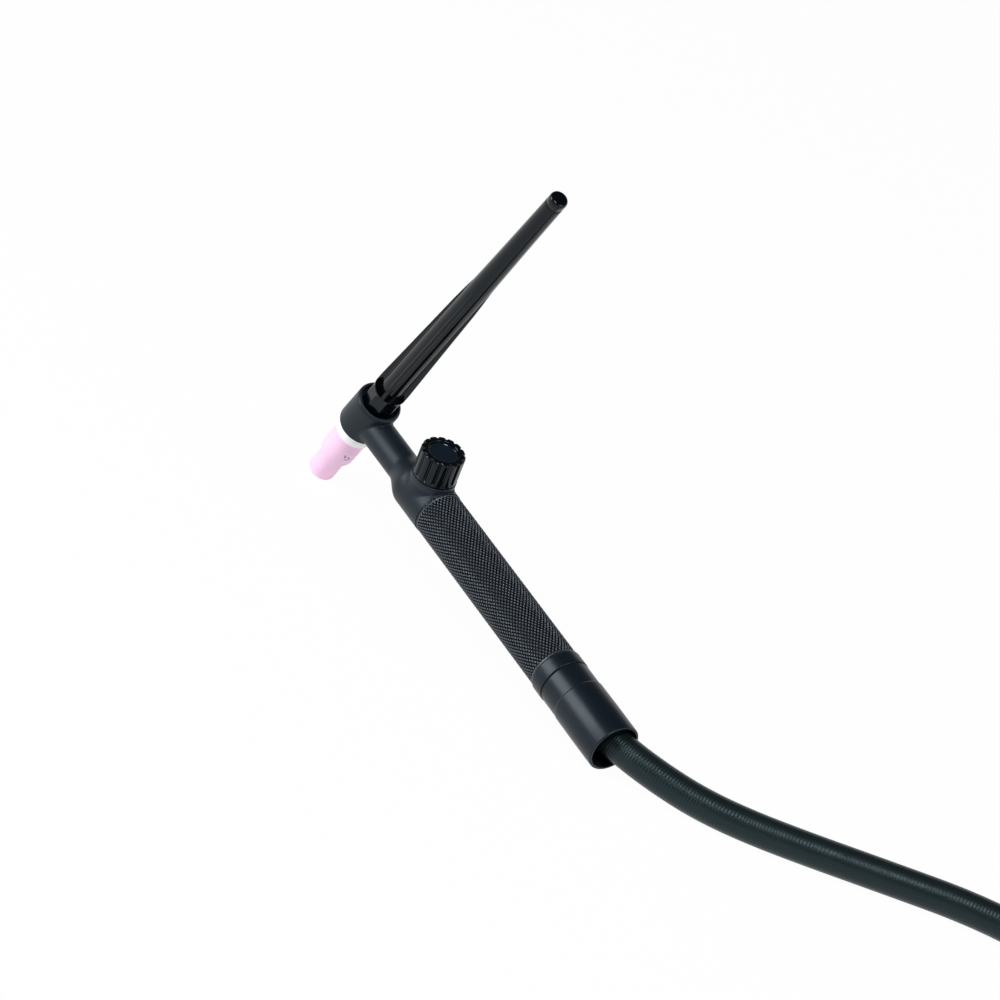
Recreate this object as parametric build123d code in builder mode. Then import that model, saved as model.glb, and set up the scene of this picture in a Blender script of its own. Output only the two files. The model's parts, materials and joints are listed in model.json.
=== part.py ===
from build123d import *
from math import acos, atan2, cos, hypot, pi, radians, sin, tan
import os

# Air-cooled TIG torch with a gas valve in its body and a one-piece power cable.
# Sizes are in millimetres. Heights along the head run from where the head's axis
# crosses the handle's axis, up to the back cap. Stations along the handle run from
# the same point to the cable, and valve heights run from the handle's axis up.

# ---- general clearances
RUN_CLEARANCE = 0.05      # radial gap between a turning or sliding pin and its hole
FACE_GAP = 0.1            # gap between two facing seats on different moving pieces
SHELL_GAP = 0.3           # gap between neighbouring moulded pieces that move apart

# ---- head
HEAD_ANGLE = 70.0         # between the back cap and the handle
HEAD_R = 8.4
HEAD_TOP = 11.5
HEAD_BOTTOM = -4.6
RIM_ROUND = 1.2
RIM_POCKET_R = 7.1
RIM_POCKET_FLOOR = 9.6
SOCKET_R = 5.5
SOCKET_BOTTOM = -3.4
PORT_SEAT = 5.2           # station where the neck tube's end sits in the socket

# ---- neck and valve housing, moulded in one piece with the head
NECK_R = 6.0
FLARE_START = 27.5
FLARE_END = 36.2
HOUSING_R = 9.2
HOUSING_END = 51.6
SPIGOT_R = 7.0
SPIGOT_END = 62.0
NECK_TUBE_R = 3.5
NECK_TUBE_BORE = 2.4

# ---- valve
VALVE_STATION = 43.0
BOSS_R = 8.2
BOSS_TOP = 8.3
BLOCK_R = 5.5
BLOCK_START = 31.0
BLOCK_END = 57.0
PASSAGE_R = 1.8
STUB_R = 4.0
STUB_END = 71.0
GLAND_R = 4.0
GLAND_BOTTOM = 2.9
GLAND_TOP = 8.1
GLAND_BORE_R = 2.6
GLAND_LIP = 1.1
STEM_R = 1.5
STEM_SHOULDER = 3.0
NEEDLE_TIP = 1.0
NEEDLE_TIP_R = 0.4
STEM_RING_HEIGHT = 4.2
STEM_RING_WIRE = 0.65
STEM_RING_R = 1.9
STEM_GROOVE_R = 1.2
STEM_GROOVE = 1.4
KNOB_R = 8.05
KNOB_BOTTOM = 8.75
KNOB_TOP = 21.4
KNOB_BASE = 1.5           # height of the plain ring under the flutes
KNOB_FLUTES = 14
KNOB_FLUTE_R = 0.8
KNOB_FLUTE_DEPTH = 0.5
KNOB_ROUND = 0.5
DISC_POCKET_R = 5.5
DISC_R = 5.4
DISC_THICK = 0.7
DISC_POCKET = 1.3
SCREW_HEAD_R = 2.4
SCREW_HEAD = 1.6
SCREW_R = 0.9
SCREW_LENGTH = 6.0
STEM_TOP = 17.6

# ---- torch consumables
ELECTRODE_R = 1.2
ELECTRODE_LENGTH = 175.0
ELECTRODE_POINT = 6.0
ELECTRODE_POINT_R = 0.2
ELECTRODE_INSET = 1.0     # how far the point stays inside the nozzle
NOZZLE_TIP = -37.3
NOZZLE_TOP = -7.9
NOZZLE_R = 6.45
NOZZLE_TIP_R = 5.1
NOZZLE_TIP_ROUND = 0.8
NOZZLE_BORE_R = 4.0
SHOULDER_TOP = -23.0
SHOULDER_BOTTOM = -26.8
NOZZLE_WALL = 1.45
NOZZLE_THREAD_R = 4.3
NOZZLE_THREAD_END = -13.5
SHIELD_BOTTOM = -9.6
SHIELD_TOP_R = 7.95
SHIELD_BOTTOM_R = 7.3
COLLET_BODY_TOP = 3.2
COLLET_BODY_SPIGOT_R = 3.6
COLLET_BODY_FLANGE_R = 4.9
COLLET_BODY_FLANGE = -5.4
COLLET_BODY_NOSE_R = 3.1
COLLET_BODY_END = -24.5
COLLET_R = 2.0
COLLET_HEAD_R = 2.9
COLLET_HEAD = 1.4
COLLET_TOP = 5.2
COLLET_END = -21.0
COLLET_CONE = 1.6
COLLET_SLOT = 0.4
COLLET_SLOT_LENGTH = 9.0
GAS_PORTS = 4
GAS_PORT_R = 0.6
GAS_PORT_HEIGHT = -17.0

# ---- back cap
CAP_BOTTOM = 9.7
CAP_R = 6.3
CAP_SHOULDER = 24.0
CAP_KNEE = 72.0
CAP_KNEE_R = 4.88
CAP_ROD_START = 91.5
CAP_ROD_R = 3.85
CAP_TIP_R = 3.27
CAP_TIP_ROUND = 1.1
CAP_TIP_LINE = 3.4        # distance of the ring line from the tip
CAP_FLATS = 8
CAP_FLAT_TURN = 31.0      # degrees from the line across the torch to a flat
CAP_FLAT_R = 5.85
CAP_FLAT_TOP = 19.4
CAP_RIBS = 4
CAP_RIB_TURN = 31.0
CAP_RIB_WIDTH = 1.35
CAP_RIB_START = 20.1      # top of the collar that the ribs rise from
CAP_CORE_R = 4.4          # round core between the ribs, at the collar
CAP_CORE_EXCESS = 0.1     # how much wider than the rod the core would end
CAP_BORE_R = 1.8
CAP_BORE_SPARE = 4.3      # room past the electrode's end
CAP_END_WALL = 4.0
INSERT_THREAD_R = 4.3
INSERT_SLEEVE_R = 3.3
INSERT_TOP = 20.0
CAP_RING_R = 4.75
CAP_RING_WIRE = 0.4

# ---- handle
GRIP_R = 9.05
GRIP_BORE_R = 7.0
KNURL_END = 132.0
COLLAR_R = 9.5
GRIP_END = 138.0
BORDER_GROOVE = 0.5
BORDER_GROOVE_DEPTH = 0.4
GRIP_RING_STATION = 59.5
GRIP_RING_WIRE = 0.7
BAND_R = 9.3
BAND_END = 147.3
BOOT_R = 9.55
BOOT_END = 170.2
BOOT_RIM_ROUND = 0.3
BOOT_BORE_R = 8.35
BOOT_BORE_START = 146.0
SLEEVE_START = 127.0
SLEEVE_HOLE_R = 6.0

# ---- cable inside the handle
TAIL_NUT_R = 5.6
TAIL_NUT_START = 62.5
TAIL_NUT_END = 77.0
TAIL_NECK_R = 3.0
TAIL_BARB_START = 84.0
TAIL_BARB_END = 98.0
TAIL_BORE_R = 1.6
FERRULE_R = 6.5
FERRULE_START = 84.5
FERRULE_END = 101.0
CABLE_R = 5.6
CABLE_BORE_R = 3.2
CONDUCTOR_R = 2.3
LEAD_END = 150.0          # station where the loose cable begins, inside the open sleeve

# ---- loose cable, the hank that stores it, and its far end
RUN_SHARE = 0.45          # share of a run that the arc at its end takes up
HANK_X = 312.0            # where the hank's straight runs begin
HANK_Y = 49.0
HANK_RUN = 150.0
HANK_FOLD_R = 34.0        # of the inner turns
HANK_COLUMN_PITCH = 11.6
HANK_LAYER_PITCH = 11.3
HANK_COLUMNS = 2
HANK_LAYERS = 3
STRAP_WIDTH = 12.0
STRAP_THICK = 0.8
OUTER_STRAP_STATION = 113.0
INNER_STRAP_STATION = 75.0
RELIEF_LENGTH = 20.0
RELIEF_R = 8.2
RELIEF_END_R = 6.6
END_FERRULE_R = 7.4
END_FERRULE = 10.0
NIPPLE_R = 4.0
NIPPLE_BORE_R = 2.2
NIPPLE_COLLAR_R = 6.6
NIPPLE_COLLAR = 23.2
NIPPLE_CONE = 26.0
NIPPLE_END = 29.0
NIPPLE_TIP_R = 3.6
NUT_FLATS = 19.0
NUT_START = 13.0
NUT_LIP_END = 23.0
NUT_END = 37.0
NUT_THREAD_R = 7.15
NUT_THREAD_START = 29.3
NUT_RELIEF_R = 7.5
NUT_REST_GAP = 0.3        # between the turning nut's corners and what it lies on


# ---- the resting tilt: the nozzle's rim and the sleeve's rim both touch the bench
def rounded_reach(length, radius, rounding):
    """Length and radius of the rounded rim's own circle."""
    return length - rounding, radius - rounding


nozzle_reach, nozzle_rim = rounded_reach(-NOZZLE_TIP, NOZZLE_TIP_R, NOZZLE_TIP_ROUND)
boot_reach, boot_rim = rounded_reach(BOOT_END, BOOT_R, BOOT_RIM_ROUND)
bend = radians(HEAD_ANGLE)
lift = nozzle_reach * sin(bend) + nozzle_rim * cos(bend) - boot_rim
run = nozzle_reach * cos(bend) - nozzle_rim * sin(bend) + boot_reach
tilt = acos((BOOT_RIM_ROUND - NOZZLE_TIP_ROUND) / hypot(lift, run)) - atan2(run, lift)
lean = bend - tilt
cross_z = boot_reach * sin(tilt) + boot_rim * cos(tilt) + BOOT_RIM_ROUND
front = -nozzle_reach * cos(lean) - nozzle_rim * sin(lean) - NOZZLE_TIP_ROUND
rear = boot_reach * cos(tilt) + boot_rim * sin(tilt) + BOOT_RIM_ROUND
cross = Vector(-(front + rear) / 2, 0, cross_z)

# ---- working planes: z runs along each axis, from the crossing point or the handle
HEAD = Plane(origin=cross, x_dir=(0, 1, 0), z_dir=(cos(lean), 0, sin(lean)))
HANDLE = Plane(origin=cross, x_dir=(0, 1, 0), z_dir=(cos(tilt), 0, -sin(tilt)))
VALVE = Plane(
    origin=HANDLE.offset(VALVE_STATION).origin,
    x_dir=(0, 1, 0),
    z_dir=(sin(tilt), 0, cos(tilt)),
)


def axis_of(lathe):
    """The axis that a working plane's z runs along."""
    return Axis(lathe.origin, lathe.z_dir)


def half(lathe):
    """The plane of a half section: x is the radius, and y runs along the lathe's axis."""
    return Plane(origin=lathe.origin, x_dir=lathe.x_dir, z_dir=-lathe.y_dir)


def turn(lathe, outline, mode=Mode.ADD):
    """Turns an outline of (radius, height) corners about the lathe's axis."""
    with BuildSketch(half(lathe)) as profile:
        with BuildLine():
            Polyline(*outline, close=True)
        make_face()
    revolve(profile.sketch, axis=axis_of(lathe), mode=mode)


def rod(lathe, radius, start, end, mode=Mode.ADD):
    """A round bar along the lathe's axis, or a hole when it subtracts."""
    turn(lathe, [(0, start), (radius, start), (radius, end), (0, end)], mode)


def pipe(lathe, radius, bore, start, end, mode=Mode.ADD):
    """A tube along the lathe's axis, or a ring-shaped groove when it subtracts."""
    turn(lathe, [(bore, start), (radius, start), (radius, end), (bore, end)], mode)


def ring(lathe, radius, wire, height):
    """An O-ring whose wire centre lies at the given radius and height."""
    with BuildSketch(half(lathe)) as section:
        with Locations((radius, height)):
            Circle(wire)
    revolve(section.sketch, axis=axis_of(lathe))


# ==== torch body: head ring, neck and valve housing in one moulding
with BuildPart() as torch_body:
    rod(HEAD, HEAD_R, HEAD_BOTTOM, HEAD_TOP)
    top_edge = torch_body.edges().filter_by(GeomType.CIRCLE).sort_by(axis_of(HEAD))[-1]
    fillet(top_edge, RIM_ROUND)
    turn(
        HANDLE,
        [
            (0, 0),
            (NECK_R, 0),
            (NECK_R, FLARE_START),
            (HOUSING_R, FLARE_END),
            (HOUSING_R, HOUSING_END),
            (SPIGOT_R, HOUSING_END),
            (SPIGOT_R, SPIGOT_END),
            (0, SPIGOT_END),
        ],
    )
    rod(VALVE, BOSS_R, 0, BOSS_TOP)
    # the neck's end is cut off flush with the head's lower face
    rod(HEAD, HEAD_R, SHIELD_BOTTOM, HEAD_BOTTOM, Mode.SUBTRACT)
    # the seat under the knob is cut flat
    rod(VALVE, BOSS_R + SHELL_GAP, BOSS_TOP, KNOB_TOP, Mode.SUBTRACT)
    rod(HEAD, RIM_POCKET_R, RIM_POCKET_FLOOR, HEAD_TOP, Mode.SUBTRACT)
    rod(HEAD, SOCKET_R, SOCKET_BOTTOM, RIM_POCKET_FLOOR, Mode.SUBTRACT)
    rod(HEAD, COLLET_BODY_FLANGE_R + RUN_CLEARANCE, HEAD_BOTTOM, SOCKET_BOTTOM, Mode.SUBTRACT)
    rod(HANDLE, NECK_TUBE_R, 0, BLOCK_START, Mode.SUBTRACT)
    rod(HANDLE, BLOCK_R, BLOCK_START, BLOCK_END, Mode.SUBTRACT)
    rod(HANDLE, STUB_R, BLOCK_END, SPIGOT_END, Mode.SUBTRACT)
    rod(VALVE, GLAND_R, 0, BOSS_TOP, Mode.SUBTRACT)
    pipe(
        HANDLE,
        SPIGOT_R,
        SPIGOT_R - 2 * GRIP_RING_WIRE,
        GRIP_RING_STATION - GRIP_RING_WIRE,
        GRIP_RING_STATION + GRIP_RING_WIRE,
        Mode.SUBTRACT,
    )

# ==== brass socket in the head: the cap screws in from above, the collet body from below
with BuildPart() as head_socket:
    rod(HEAD, SOCKET_R, SOCKET_BOTTOM, RIM_POCKET_FLOOR)
    rod(HEAD, COLLET_BODY_SPIGOT_R, SOCKET_BOTTOM, COLLET_BODY_TOP, Mode.SUBTRACT)
    rod(HEAD, INSERT_THREAD_R + RUN_CLEARANCE, COLLET_BODY_TOP, RIM_POCKET_FLOOR, Mode.SUBTRACT)
    rod(HANDLE, NECK_TUBE_BORE, 0, PORT_SEAT, Mode.SUBTRACT)
    rod(HANDLE, NECK_TUBE_R, PORT_SEAT, SOCKET_R * 2, Mode.SUBTRACT)

# ==== copper tube in the neck, from the socket to the valve block
with BuildPart() as neck_tube:
    pipe(HANDLE, NECK_TUBE_R, NECK_TUBE_BORE, PORT_SEAT, BLOCK_START)

# ==== brass valve block with a stub for the cable's nut at its rear
with BuildPart() as valve_block:
    rod(HANDLE, BLOCK_R, BLOCK_START, BLOCK_END)
    rod(HANDLE, STUB_R, BLOCK_END, STUB_END)
    rod(HANDLE, PASSAGE_R, BLOCK_START, STUB_END, Mode.SUBTRACT)
    rod(VALVE, GLAND_R, GLAND_BOTTOM, BLOCK_R, Mode.SUBTRACT)
    rod(VALVE, STEM_R + RUN_CLEARANCE, 0, GLAND_BOTTOM, Mode.SUBTRACT)

# ==== brass gland that guides the valve stem
with BuildPart() as gland_nut:
    rod(VALVE, GLAND_R, GLAND_BOTTOM, GLAND_TOP)
    rod(VALVE, GLAND_BORE_R, GLAND_BOTTOM, GLAND_TOP - GLAND_LIP, Mode.SUBTRACT)
    rod(VALVE, STEM_R + RUN_CLEARANCE, GLAND_TOP - GLAND_LIP, GLAND_TOP, Mode.SUBTRACT)

# ==== needle stem
with BuildPart() as valve_stem:
    turn(
        VALVE,
        [
            (0, NEEDLE_TIP),
            (NEEDLE_TIP_R, NEEDLE_TIP),
            (STEM_R, STEM_SHOULDER),
            (STEM_R, STEM_TOP),
            (0, STEM_TOP),
        ],
    )
    groove_start = STEM_RING_HEIGHT - STEM_GROOVE / 2
    pipe(VALVE, STEM_R, STEM_GROOVE_R, groove_start, groove_start + STEM_GROOVE, Mode.SUBTRACT)
    rod(VALVE, SCREW_R, STEM_TOP - SCREW_LENGTH, STEM_TOP, Mode.SUBTRACT)

with BuildPart() as stem_oring:
    ring(VALVE, STEM_RING_R, STEM_RING_WIRE, STEM_RING_HEIGHT)

# ==== knob, its centre screw and the inlaid disc that hides it
disc_floor = KNOB_TOP - DISC_POCKET
screw_seat = disc_floor - SCREW_HEAD
with BuildPart() as valve_knob:
    rod(VALVE, KNOB_R, KNOB_BOTTOM, KNOB_TOP)
    outer_edges = valve_knob.edges().filter_by(GeomType.CIRCLE)
    fillet(outer_edges, KNOB_ROUND)
    flute_centre = KNOB_R + KNOB_FLUTE_R - KNOB_FLUTE_DEPTH
    with BuildSketch(VALVE.offset(KNOB_BOTTOM + KNOB_BASE)) as flutes:
        with PolarLocations(flute_centre, KNOB_FLUTES):
            Circle(KNOB_FLUTE_R)
    extrude(flutes.sketch, amount=KNOB_TOP - KNOB_BOTTOM, mode=Mode.SUBTRACT)
    rod(VALVE, DISC_POCKET_R, disc_floor, KNOB_TOP, Mode.SUBTRACT)
    rod(VALVE, STEM_R, KNOB_BOTTOM, STEM_TOP, Mode.SUBTRACT)
    rod(VALVE, SCREW_R, STEM_TOP, screw_seat, Mode.SUBTRACT)
    rod(VALVE, SCREW_HEAD_R, screw_seat, disc_floor, Mode.SUBTRACT)

with BuildPart() as knob_disc:
    rod(VALVE, DISC_R, disc_floor, disc_floor + DISC_THICK)

with BuildPart() as knob_screw:
    rod(VALVE, SCREW_HEAD_R, screw_seat, disc_floor)
    rod(VALVE, SCREW_R, STEM_TOP - SCREW_LENGTH, screw_seat)
    with BuildSketch(VALVE.offset(disc_floor)) as driver_slot:
        Rectangle(SCREW_HEAD_R * 2, SCREW_R)
    extrude(driver_slot.sketch, amount=-SCREW_HEAD / 2, mode=Mode.SUBTRACT)

# ==== collet body: carries the nozzle and closes the collet
cone_top = COLLET_END + COLLET_CONE
with BuildPart() as collet_body:
    turn(
        HEAD,
        [
            (0, COLLET_BODY_END),
            (COLLET_BODY_NOSE_R, COLLET_BODY_END),
            (COLLET_BODY_NOSE_R, NOZZLE_THREAD_END),
            (NOZZLE_THREAD_R, NOZZLE_THREAD_END),
            (NOZZLE_THREAD_R, COLLET_BODY_FLANGE),
            (COLLET_BODY_FLANGE_R, COLLET_BODY_FLANGE),
            (COLLET_BODY_FLANGE_R, SOCKET_BOTTOM),
            (COLLET_BODY_SPIGOT_R, SOCKET_BOTTOM),
            (COLLET_BODY_SPIGOT_R, COLLET_BODY_TOP),
            (0, COLLET_BODY_TOP),
        ],
    )
    turn(
        HEAD,
        [
            (0, COLLET_BODY_END),
            (ELECTRODE_R + FACE_GAP, COLLET_BODY_END),
            (ELECTRODE_R + FACE_GAP, COLLET_END),
            (COLLET_R + RUN_CLEARANCE, cone_top),
            (COLLET_R + RUN_CLEARANCE, COLLET_BODY_TOP),
            (0, COLLET_BODY_TOP),
        ],
        Mode.SUBTRACT,
    )
    with BuildSketch(Plane(HEAD.offset(GAS_PORT_HEIGHT).origin, x_dir=HEAD.z_dir, z_dir=HEAD.x_dir)) as port:
        Circle(GAS_PORT_R)
    extrude(port.sketch, amount=NOZZLE_R - NOZZLE_WALL, both=True, mode=Mode.SUBTRACT)
    with BuildSketch(Plane(HEAD.offset(GAS_PORT_HEIGHT).origin, x_dir=HEAD.z_dir, z_dir=HEAD.y_dir)) as port:
        Circle(GAS_PORT_R)
    extrude(port.sketch, amount=NOZZLE_R - NOZZLE_WALL, both=True, mode=Mode.SUBTRACT)

# ==== collet: a slotted copper tube that grips the electrode
with BuildPart() as collet:
    turn(
        HEAD,
        [
            (ELECTRODE_R + RUN_CLEARANCE, COLLET_END + FACE_GAP),
            (ELECTRODE_R + FACE_GAP, COLLET_END + FACE_GAP),
            (COLLET_R, cone_top + FACE_GAP),
            (COLLET_R, COLLET_TOP - COLLET_HEAD),
            (COLLET_HEAD_R, COLLET_TOP - COLLET_HEAD),
            (COLLET_HEAD_R, COLLET_TOP),
            (ELECTRODE_R + RUN_CLEARANCE, COLLET_TOP),
        ],
    )
    with BuildSketch(HEAD.offset(COLLET_END)) as slots:
        Rectangle(COLLET_R * 2, COLLET_SLOT)
        Rectangle(COLLET_SLOT, COLLET_R * 2)
    extrude(slots.sketch, amount=COLLET_SLOT_LENGTH, mode=Mode.SUBTRACT)

# ==== tungsten electrode with a ground point
electrode_tip = NOZZLE_TIP + ELECTRODE_INSET
with BuildPart() as electrode:
    turn(
        HEAD,
        [
            (0, electrode_tip),
            (ELECTRODE_POINT_R, electrode_tip),
            (ELECTRODE_R, electrode_tip + ELECTRODE_POINT),
            (ELECTRODE_R, electrode_tip + ELECTRODE_LENGTH),
            (0, electrode_tip + ELECTRODE_LENGTH),
        ],
    )

# ==== white heat shield between head and nozzle
shield_bore = COLLET_BODY_FLANGE_R + RUN_CLEARANCE
with BuildPart() as heat_shield:
    turn(
        HEAD,
        [
            (shield_bore, SHIELD_BOTTOM),
            (SHIELD_BOTTOM_R, SHIELD_BOTTOM),
            (SHIELD_TOP_R, HEAD_BOTTOM - FACE_GAP),
            (shield_bore, HEAD_BOTTOM - FACE_GAP),
        ],
    )
    rod(HEAD, NOZZLE_R + RUN_CLEARANCE, SHIELD_BOTTOM, NOZZLE_TOP + FACE_GAP, Mode.SUBTRACT)

# ==== ceramic nozzle
chamber_r = NOZZLE_R - NOZZLE_WALL
with BuildPart() as nozzle:
    turn(
        HEAD,
        [
            (0, NOZZLE_TIP),
            (NOZZLE_TIP_R, NOZZLE_TIP),
            (NOZZLE_TIP_R, SHOULDER_BOTTOM),
            (NOZZLE_R, SHOULDER_TOP),
            (NOZZLE_R, NOZZLE_TOP),
            (0, NOZZLE_TOP),
        ],
    )
    tip_edge = nozzle.edges().filter_by(GeomType.CIRCLE).sort_by(axis_of(HEAD))[0]
    fillet(tip_edge, NOZZLE_TIP_ROUND)
    turn(
        HEAD,
        [
            (0, NOZZLE_TIP),
            (NOZZLE_BORE_R, NOZZLE_TIP),
            (NOZZLE_BORE_R, SHOULDER_BOTTOM),
            (chamber_r, SHOULDER_TOP),
            (chamber_r, NOZZLE_THREAD_END),
            (NOZZLE_THREAD_R + RUN_CLEARANCE, NOZZLE_THREAD_END),
            (NOZZLE_THREAD_R + RUN_CLEARANCE, NOZZLE_TOP),
            (0, NOZZLE_TOP),
        ],
        Mode.SUBTRACT,
    )

# ==== long back cap: flats at its foot, then a round core with straight ribs that run out
cap_bore_end = electrode_tip + ELECTRODE_LENGTH + CAP_BORE_SPARE
cap_tip = cap_bore_end + CAP_END_WALL
with BuildPart() as rib_gaps:
    core_end = CAP_ROD_R + CAP_CORE_EXCESS
    turn(
        HEAD,
        [
            (CAP_CORE_R, CAP_RIB_START),
            (CAP_R + CAP_RIB_WIDTH, CAP_RIB_START),
            (CAP_R + CAP_RIB_WIDTH, CAP_ROD_START),
            (core_end, CAP_ROD_START),
        ],
    )
    with BuildSketch(HEAD.offset(CAP_RIB_START)) as ribs:
        with PolarLocations(0, CAP_RIBS, start_angle=CAP_RIB_TURN):
            Rectangle(CAP_R * 2, CAP_RIB_WIDTH, align=(Align.MIN, Align.CENTER))
    extrude(ribs.sketch, amount=CAP_ROD_START - CAP_RIB_START, mode=Mode.SUBTRACT)

with BuildPart() as back_cap:
    turn(
        HEAD,
        [
            (0, CAP_BOTTOM),
            (CAP_R, CAP_BOTTOM),
            (CAP_R, CAP_SHOULDER),
            (CAP_KNEE_R, CAP_KNEE),
            (CAP_ROD_R, CAP_ROD_START),
            (CAP_TIP_R, cap_tip),
            (0, cap_tip),
        ],
    )
    cap_end = back_cap.edges().filter_by(GeomType.CIRCLE).sort_by(axis_of(HEAD))[-1]
    fillet(cap_end, CAP_TIP_ROUND)
    add(rib_gaps.part, mode=Mode.SUBTRACT)
    for number in range(CAP_FLATS):
        side = radians(CAP_FLAT_TURN) + 2 * pi * number / CAP_FLATS
        facing = HEAD.x_dir * cos(side) + HEAD.y_dir * sin(side)
        foot = HEAD.offset(CAP_BOTTOM).origin + facing * CAP_FLAT_R
        with BuildSketch(Plane(origin=foot, x_dir=HEAD.z_dir, z_dir=facing)) as flat:
            Rectangle(CAP_FLAT_TOP - CAP_BOTTOM, CAP_R * 2, align=(Align.MIN, Align.CENTER))
        extrude(flat.sketch, amount=CAP_R, mode=Mode.SUBTRACT)
    ring_line = cap_tip - CAP_TIP_LINE
    pipe(HEAD, CAP_R, CAP_TIP_R - FACE_GAP, ring_line, ring_line + FACE_GAP * 2, Mode.SUBTRACT)
    rod(HEAD, CAP_BORE_R, CAP_BOTTOM, cap_bore_end, Mode.SUBTRACT)
    rod(HEAD, INSERT_SLEEVE_R, CAP_BOTTOM, INSERT_TOP, Mode.SUBTRACT)
    groove_top = RIM_POCKET_FLOOR + RUN_CLEARANCE + CAP_RING_WIRE * 2 + FACE_GAP
    pipe(
        HEAD,
        CAP_RING_R + CAP_RING_WIRE + RUN_CLEARANCE,
        INSERT_SLEEVE_R,
        CAP_BOTTOM,
        groove_top,
        Mode.SUBTRACT,
    )

# ==== brass thread insert moulded into the cap: its end presses on the collet
with BuildPart() as cap_insert:
    pipe(HEAD, INSERT_THREAD_R, CAP_BORE_R, COLLET_TOP + FACE_GAP, groove_top)
    pipe(HEAD, INSERT_SLEEVE_R, CAP_BORE_R, groove_top, INSERT_TOP)

with BuildPart() as cap_oring:
    ring(HEAD, CAP_RING_R, CAP_RING_WIRE, RIM_POCKET_FLOOR + RUN_CLEARANCE + CAP_RING_WIRE)

# ==== knurled grip with a plain collar at its rear
with BuildPart() as grip_sleeve:
    pipe(HANDLE, GRIP_R, GRIP_BORE_R, HOUSING_END, KNURL_END)
    pipe(HANDLE, COLLAR_R, GRIP_BORE_R, KNURL_END, GRIP_END)
    pipe(
        HANDLE,
        GRIP_R,
        GRIP_R - BORDER_GROOVE_DEPTH,
        HOUSING_END,
        HOUSING_END + BORDER_GROOVE,
        Mode.SUBTRACT,
    )

with BuildPart() as grip_oring:
    ring(HANDLE, SPIGOT_R - GRIP_RING_WIRE, GRIP_RING_WIRE, GRIP_RING_STATION)

# ==== open-ended rear sleeve: a band, a step and the wide open boot
with BuildPart() as rear_sleeve:
    turn(
        HANDLE,
        [
            (0, SLEEVE_START),
            (GRIP_BORE_R, SLEEVE_START),
            (GRIP_BORE_R, GRIP_END),
            (BAND_R, GRIP_END),
            (BAND_R, BAND_END),
            (BOOT_R, BAND_END),
            (BOOT_R, BOOT_END),
            (0, BOOT_END),
        ],
    )
    boot_edge = rear_sleeve.edges().filter_by(GeomType.CIRCLE).sort_by(axis_of(HANDLE))[-1]
    fillet(boot_edge, BOOT_RIM_ROUND)
    rod(HANDLE, SLEEVE_HOLE_R, SLEEVE_START, BOOT_BORE_START, Mode.SUBTRACT)
    rod(HANDLE, BOOT_BORE_R, BOOT_BORE_START, BOOT_END, Mode.SUBTRACT)

# ==== brass hose tail: its nut closes on the valve block's stub, its barb holds the cable
with BuildPart() as hose_tail:
    turn(
        HANDLE,
        [
            (TAIL_BORE_R, STUB_END),
            (TAIL_NECK_R, STUB_END),
            (TAIL_NECK_R, TAIL_BARB_START),
            (CABLE_BORE_R, TAIL_BARB_START),
            (CABLE_BORE_R, TAIL_BARB_END),
            (TAIL_BORE_R, TAIL_BARB_END),
        ],
    )

with BuildPart() as tail_nut:
    with BuildSketch(HANDLE.offset(TAIL_NUT_START)) as hexagon:
        RegularPolygon(TAIL_NUT_R, 6, major_radius=False)
    extrude(hexagon.sketch, amount=TAIL_NUT_END - TAIL_NUT_START)
    rod(HANDLE, STUB_R, TAIL_NUT_START, STUB_END, Mode.SUBTRACT)
    rod(HANDLE, TAIL_NECK_R, STUB_END, TAIL_NUT_END, Mode.SUBTRACT)

# ==== the cable's end in the handle, its crimp ferrule and its copper core
with BuildPart() as cable_lead:
    pipe(HANDLE, CABLE_R, CABLE_BORE_R, TAIL_BARB_START, LEAD_END)

with BuildPart() as crimp_ferrule:
    pipe(HANDLE, FERRULE_R, CABLE_R, FERRULE_START, FERRULE_END)

with BuildPart() as conductor:
    rod(HANDLE, CONDUCTOR_R, TAIL_BARB_END, LEAD_END)

# ==== loose power cable from the sleeve to the hank
outer_fold = HANK_FOLD_R + (HANK_COLUMNS - 1) * HANK_COLUMN_PITCH
hank_bottom = STRAP_THICK
first_layer = hank_bottom + CABLE_R
last_layer = first_layer + (HANK_LAYERS - 1) * HANK_LAYER_PITCH
hank_top = last_layer + CABLE_R
end_height = hank_top + NUT_FLATS / 2 / cos(pi / 6) + NUT_REST_GAP


def bend_radii(points):
    """The largest arc that the two runs at each corner leave room for."""
    radii = []
    for before, corner, after in zip(points, points[1:], points[2:]):
        arriving = corner - before
        leaving = after - corner
        half_turn = radians(arriving.get_angle(leaving)) / 2
        radii.append(RUN_SHARE * min(arriving.length, leaving.length) / tan(half_turn))
    return radii


def cable_along(points):
    """A round cable along straight runs joined by arcs."""
    radii = bend_radii(points)
    with BuildLine() as route:
        FilletPolyline(*points, radius=radii)
    with BuildSketch(Plane(origin=route.line @ 0, z_dir=route.line % 0)) as section:
        Circle(CABLE_R)
    sweep(section.sketch, path=route.line)
    return sum(edge.length for edge in route.edges()), radii


cable_route = [
    HANDLE.offset(LEAD_END).origin,
    Vector(87.2, 0.5, 10.6),
    Vector(99.6, 3.8, 8.8),
    Vector(112.5, 9.4, 6.8),
    Vector(125.5, 15.6, 5.7),
    Vector(139.5, 24.0, 5.6),
    Vector(154.5, 35.5, 5.6),
    Vector(175.5, 53.1, 5.7),
    Vector(203.0, 75.6, 5.9),
    Vector(235.0, 90.0, 6.1),
    Vector(271.0, 94.5, 6.3),
    Vector(HANK_X, HANK_Y + outer_fold, first_layer),
]
with BuildPart() as power_cable:
    cable_length, cable_radii = cable_along(cable_route)

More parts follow.
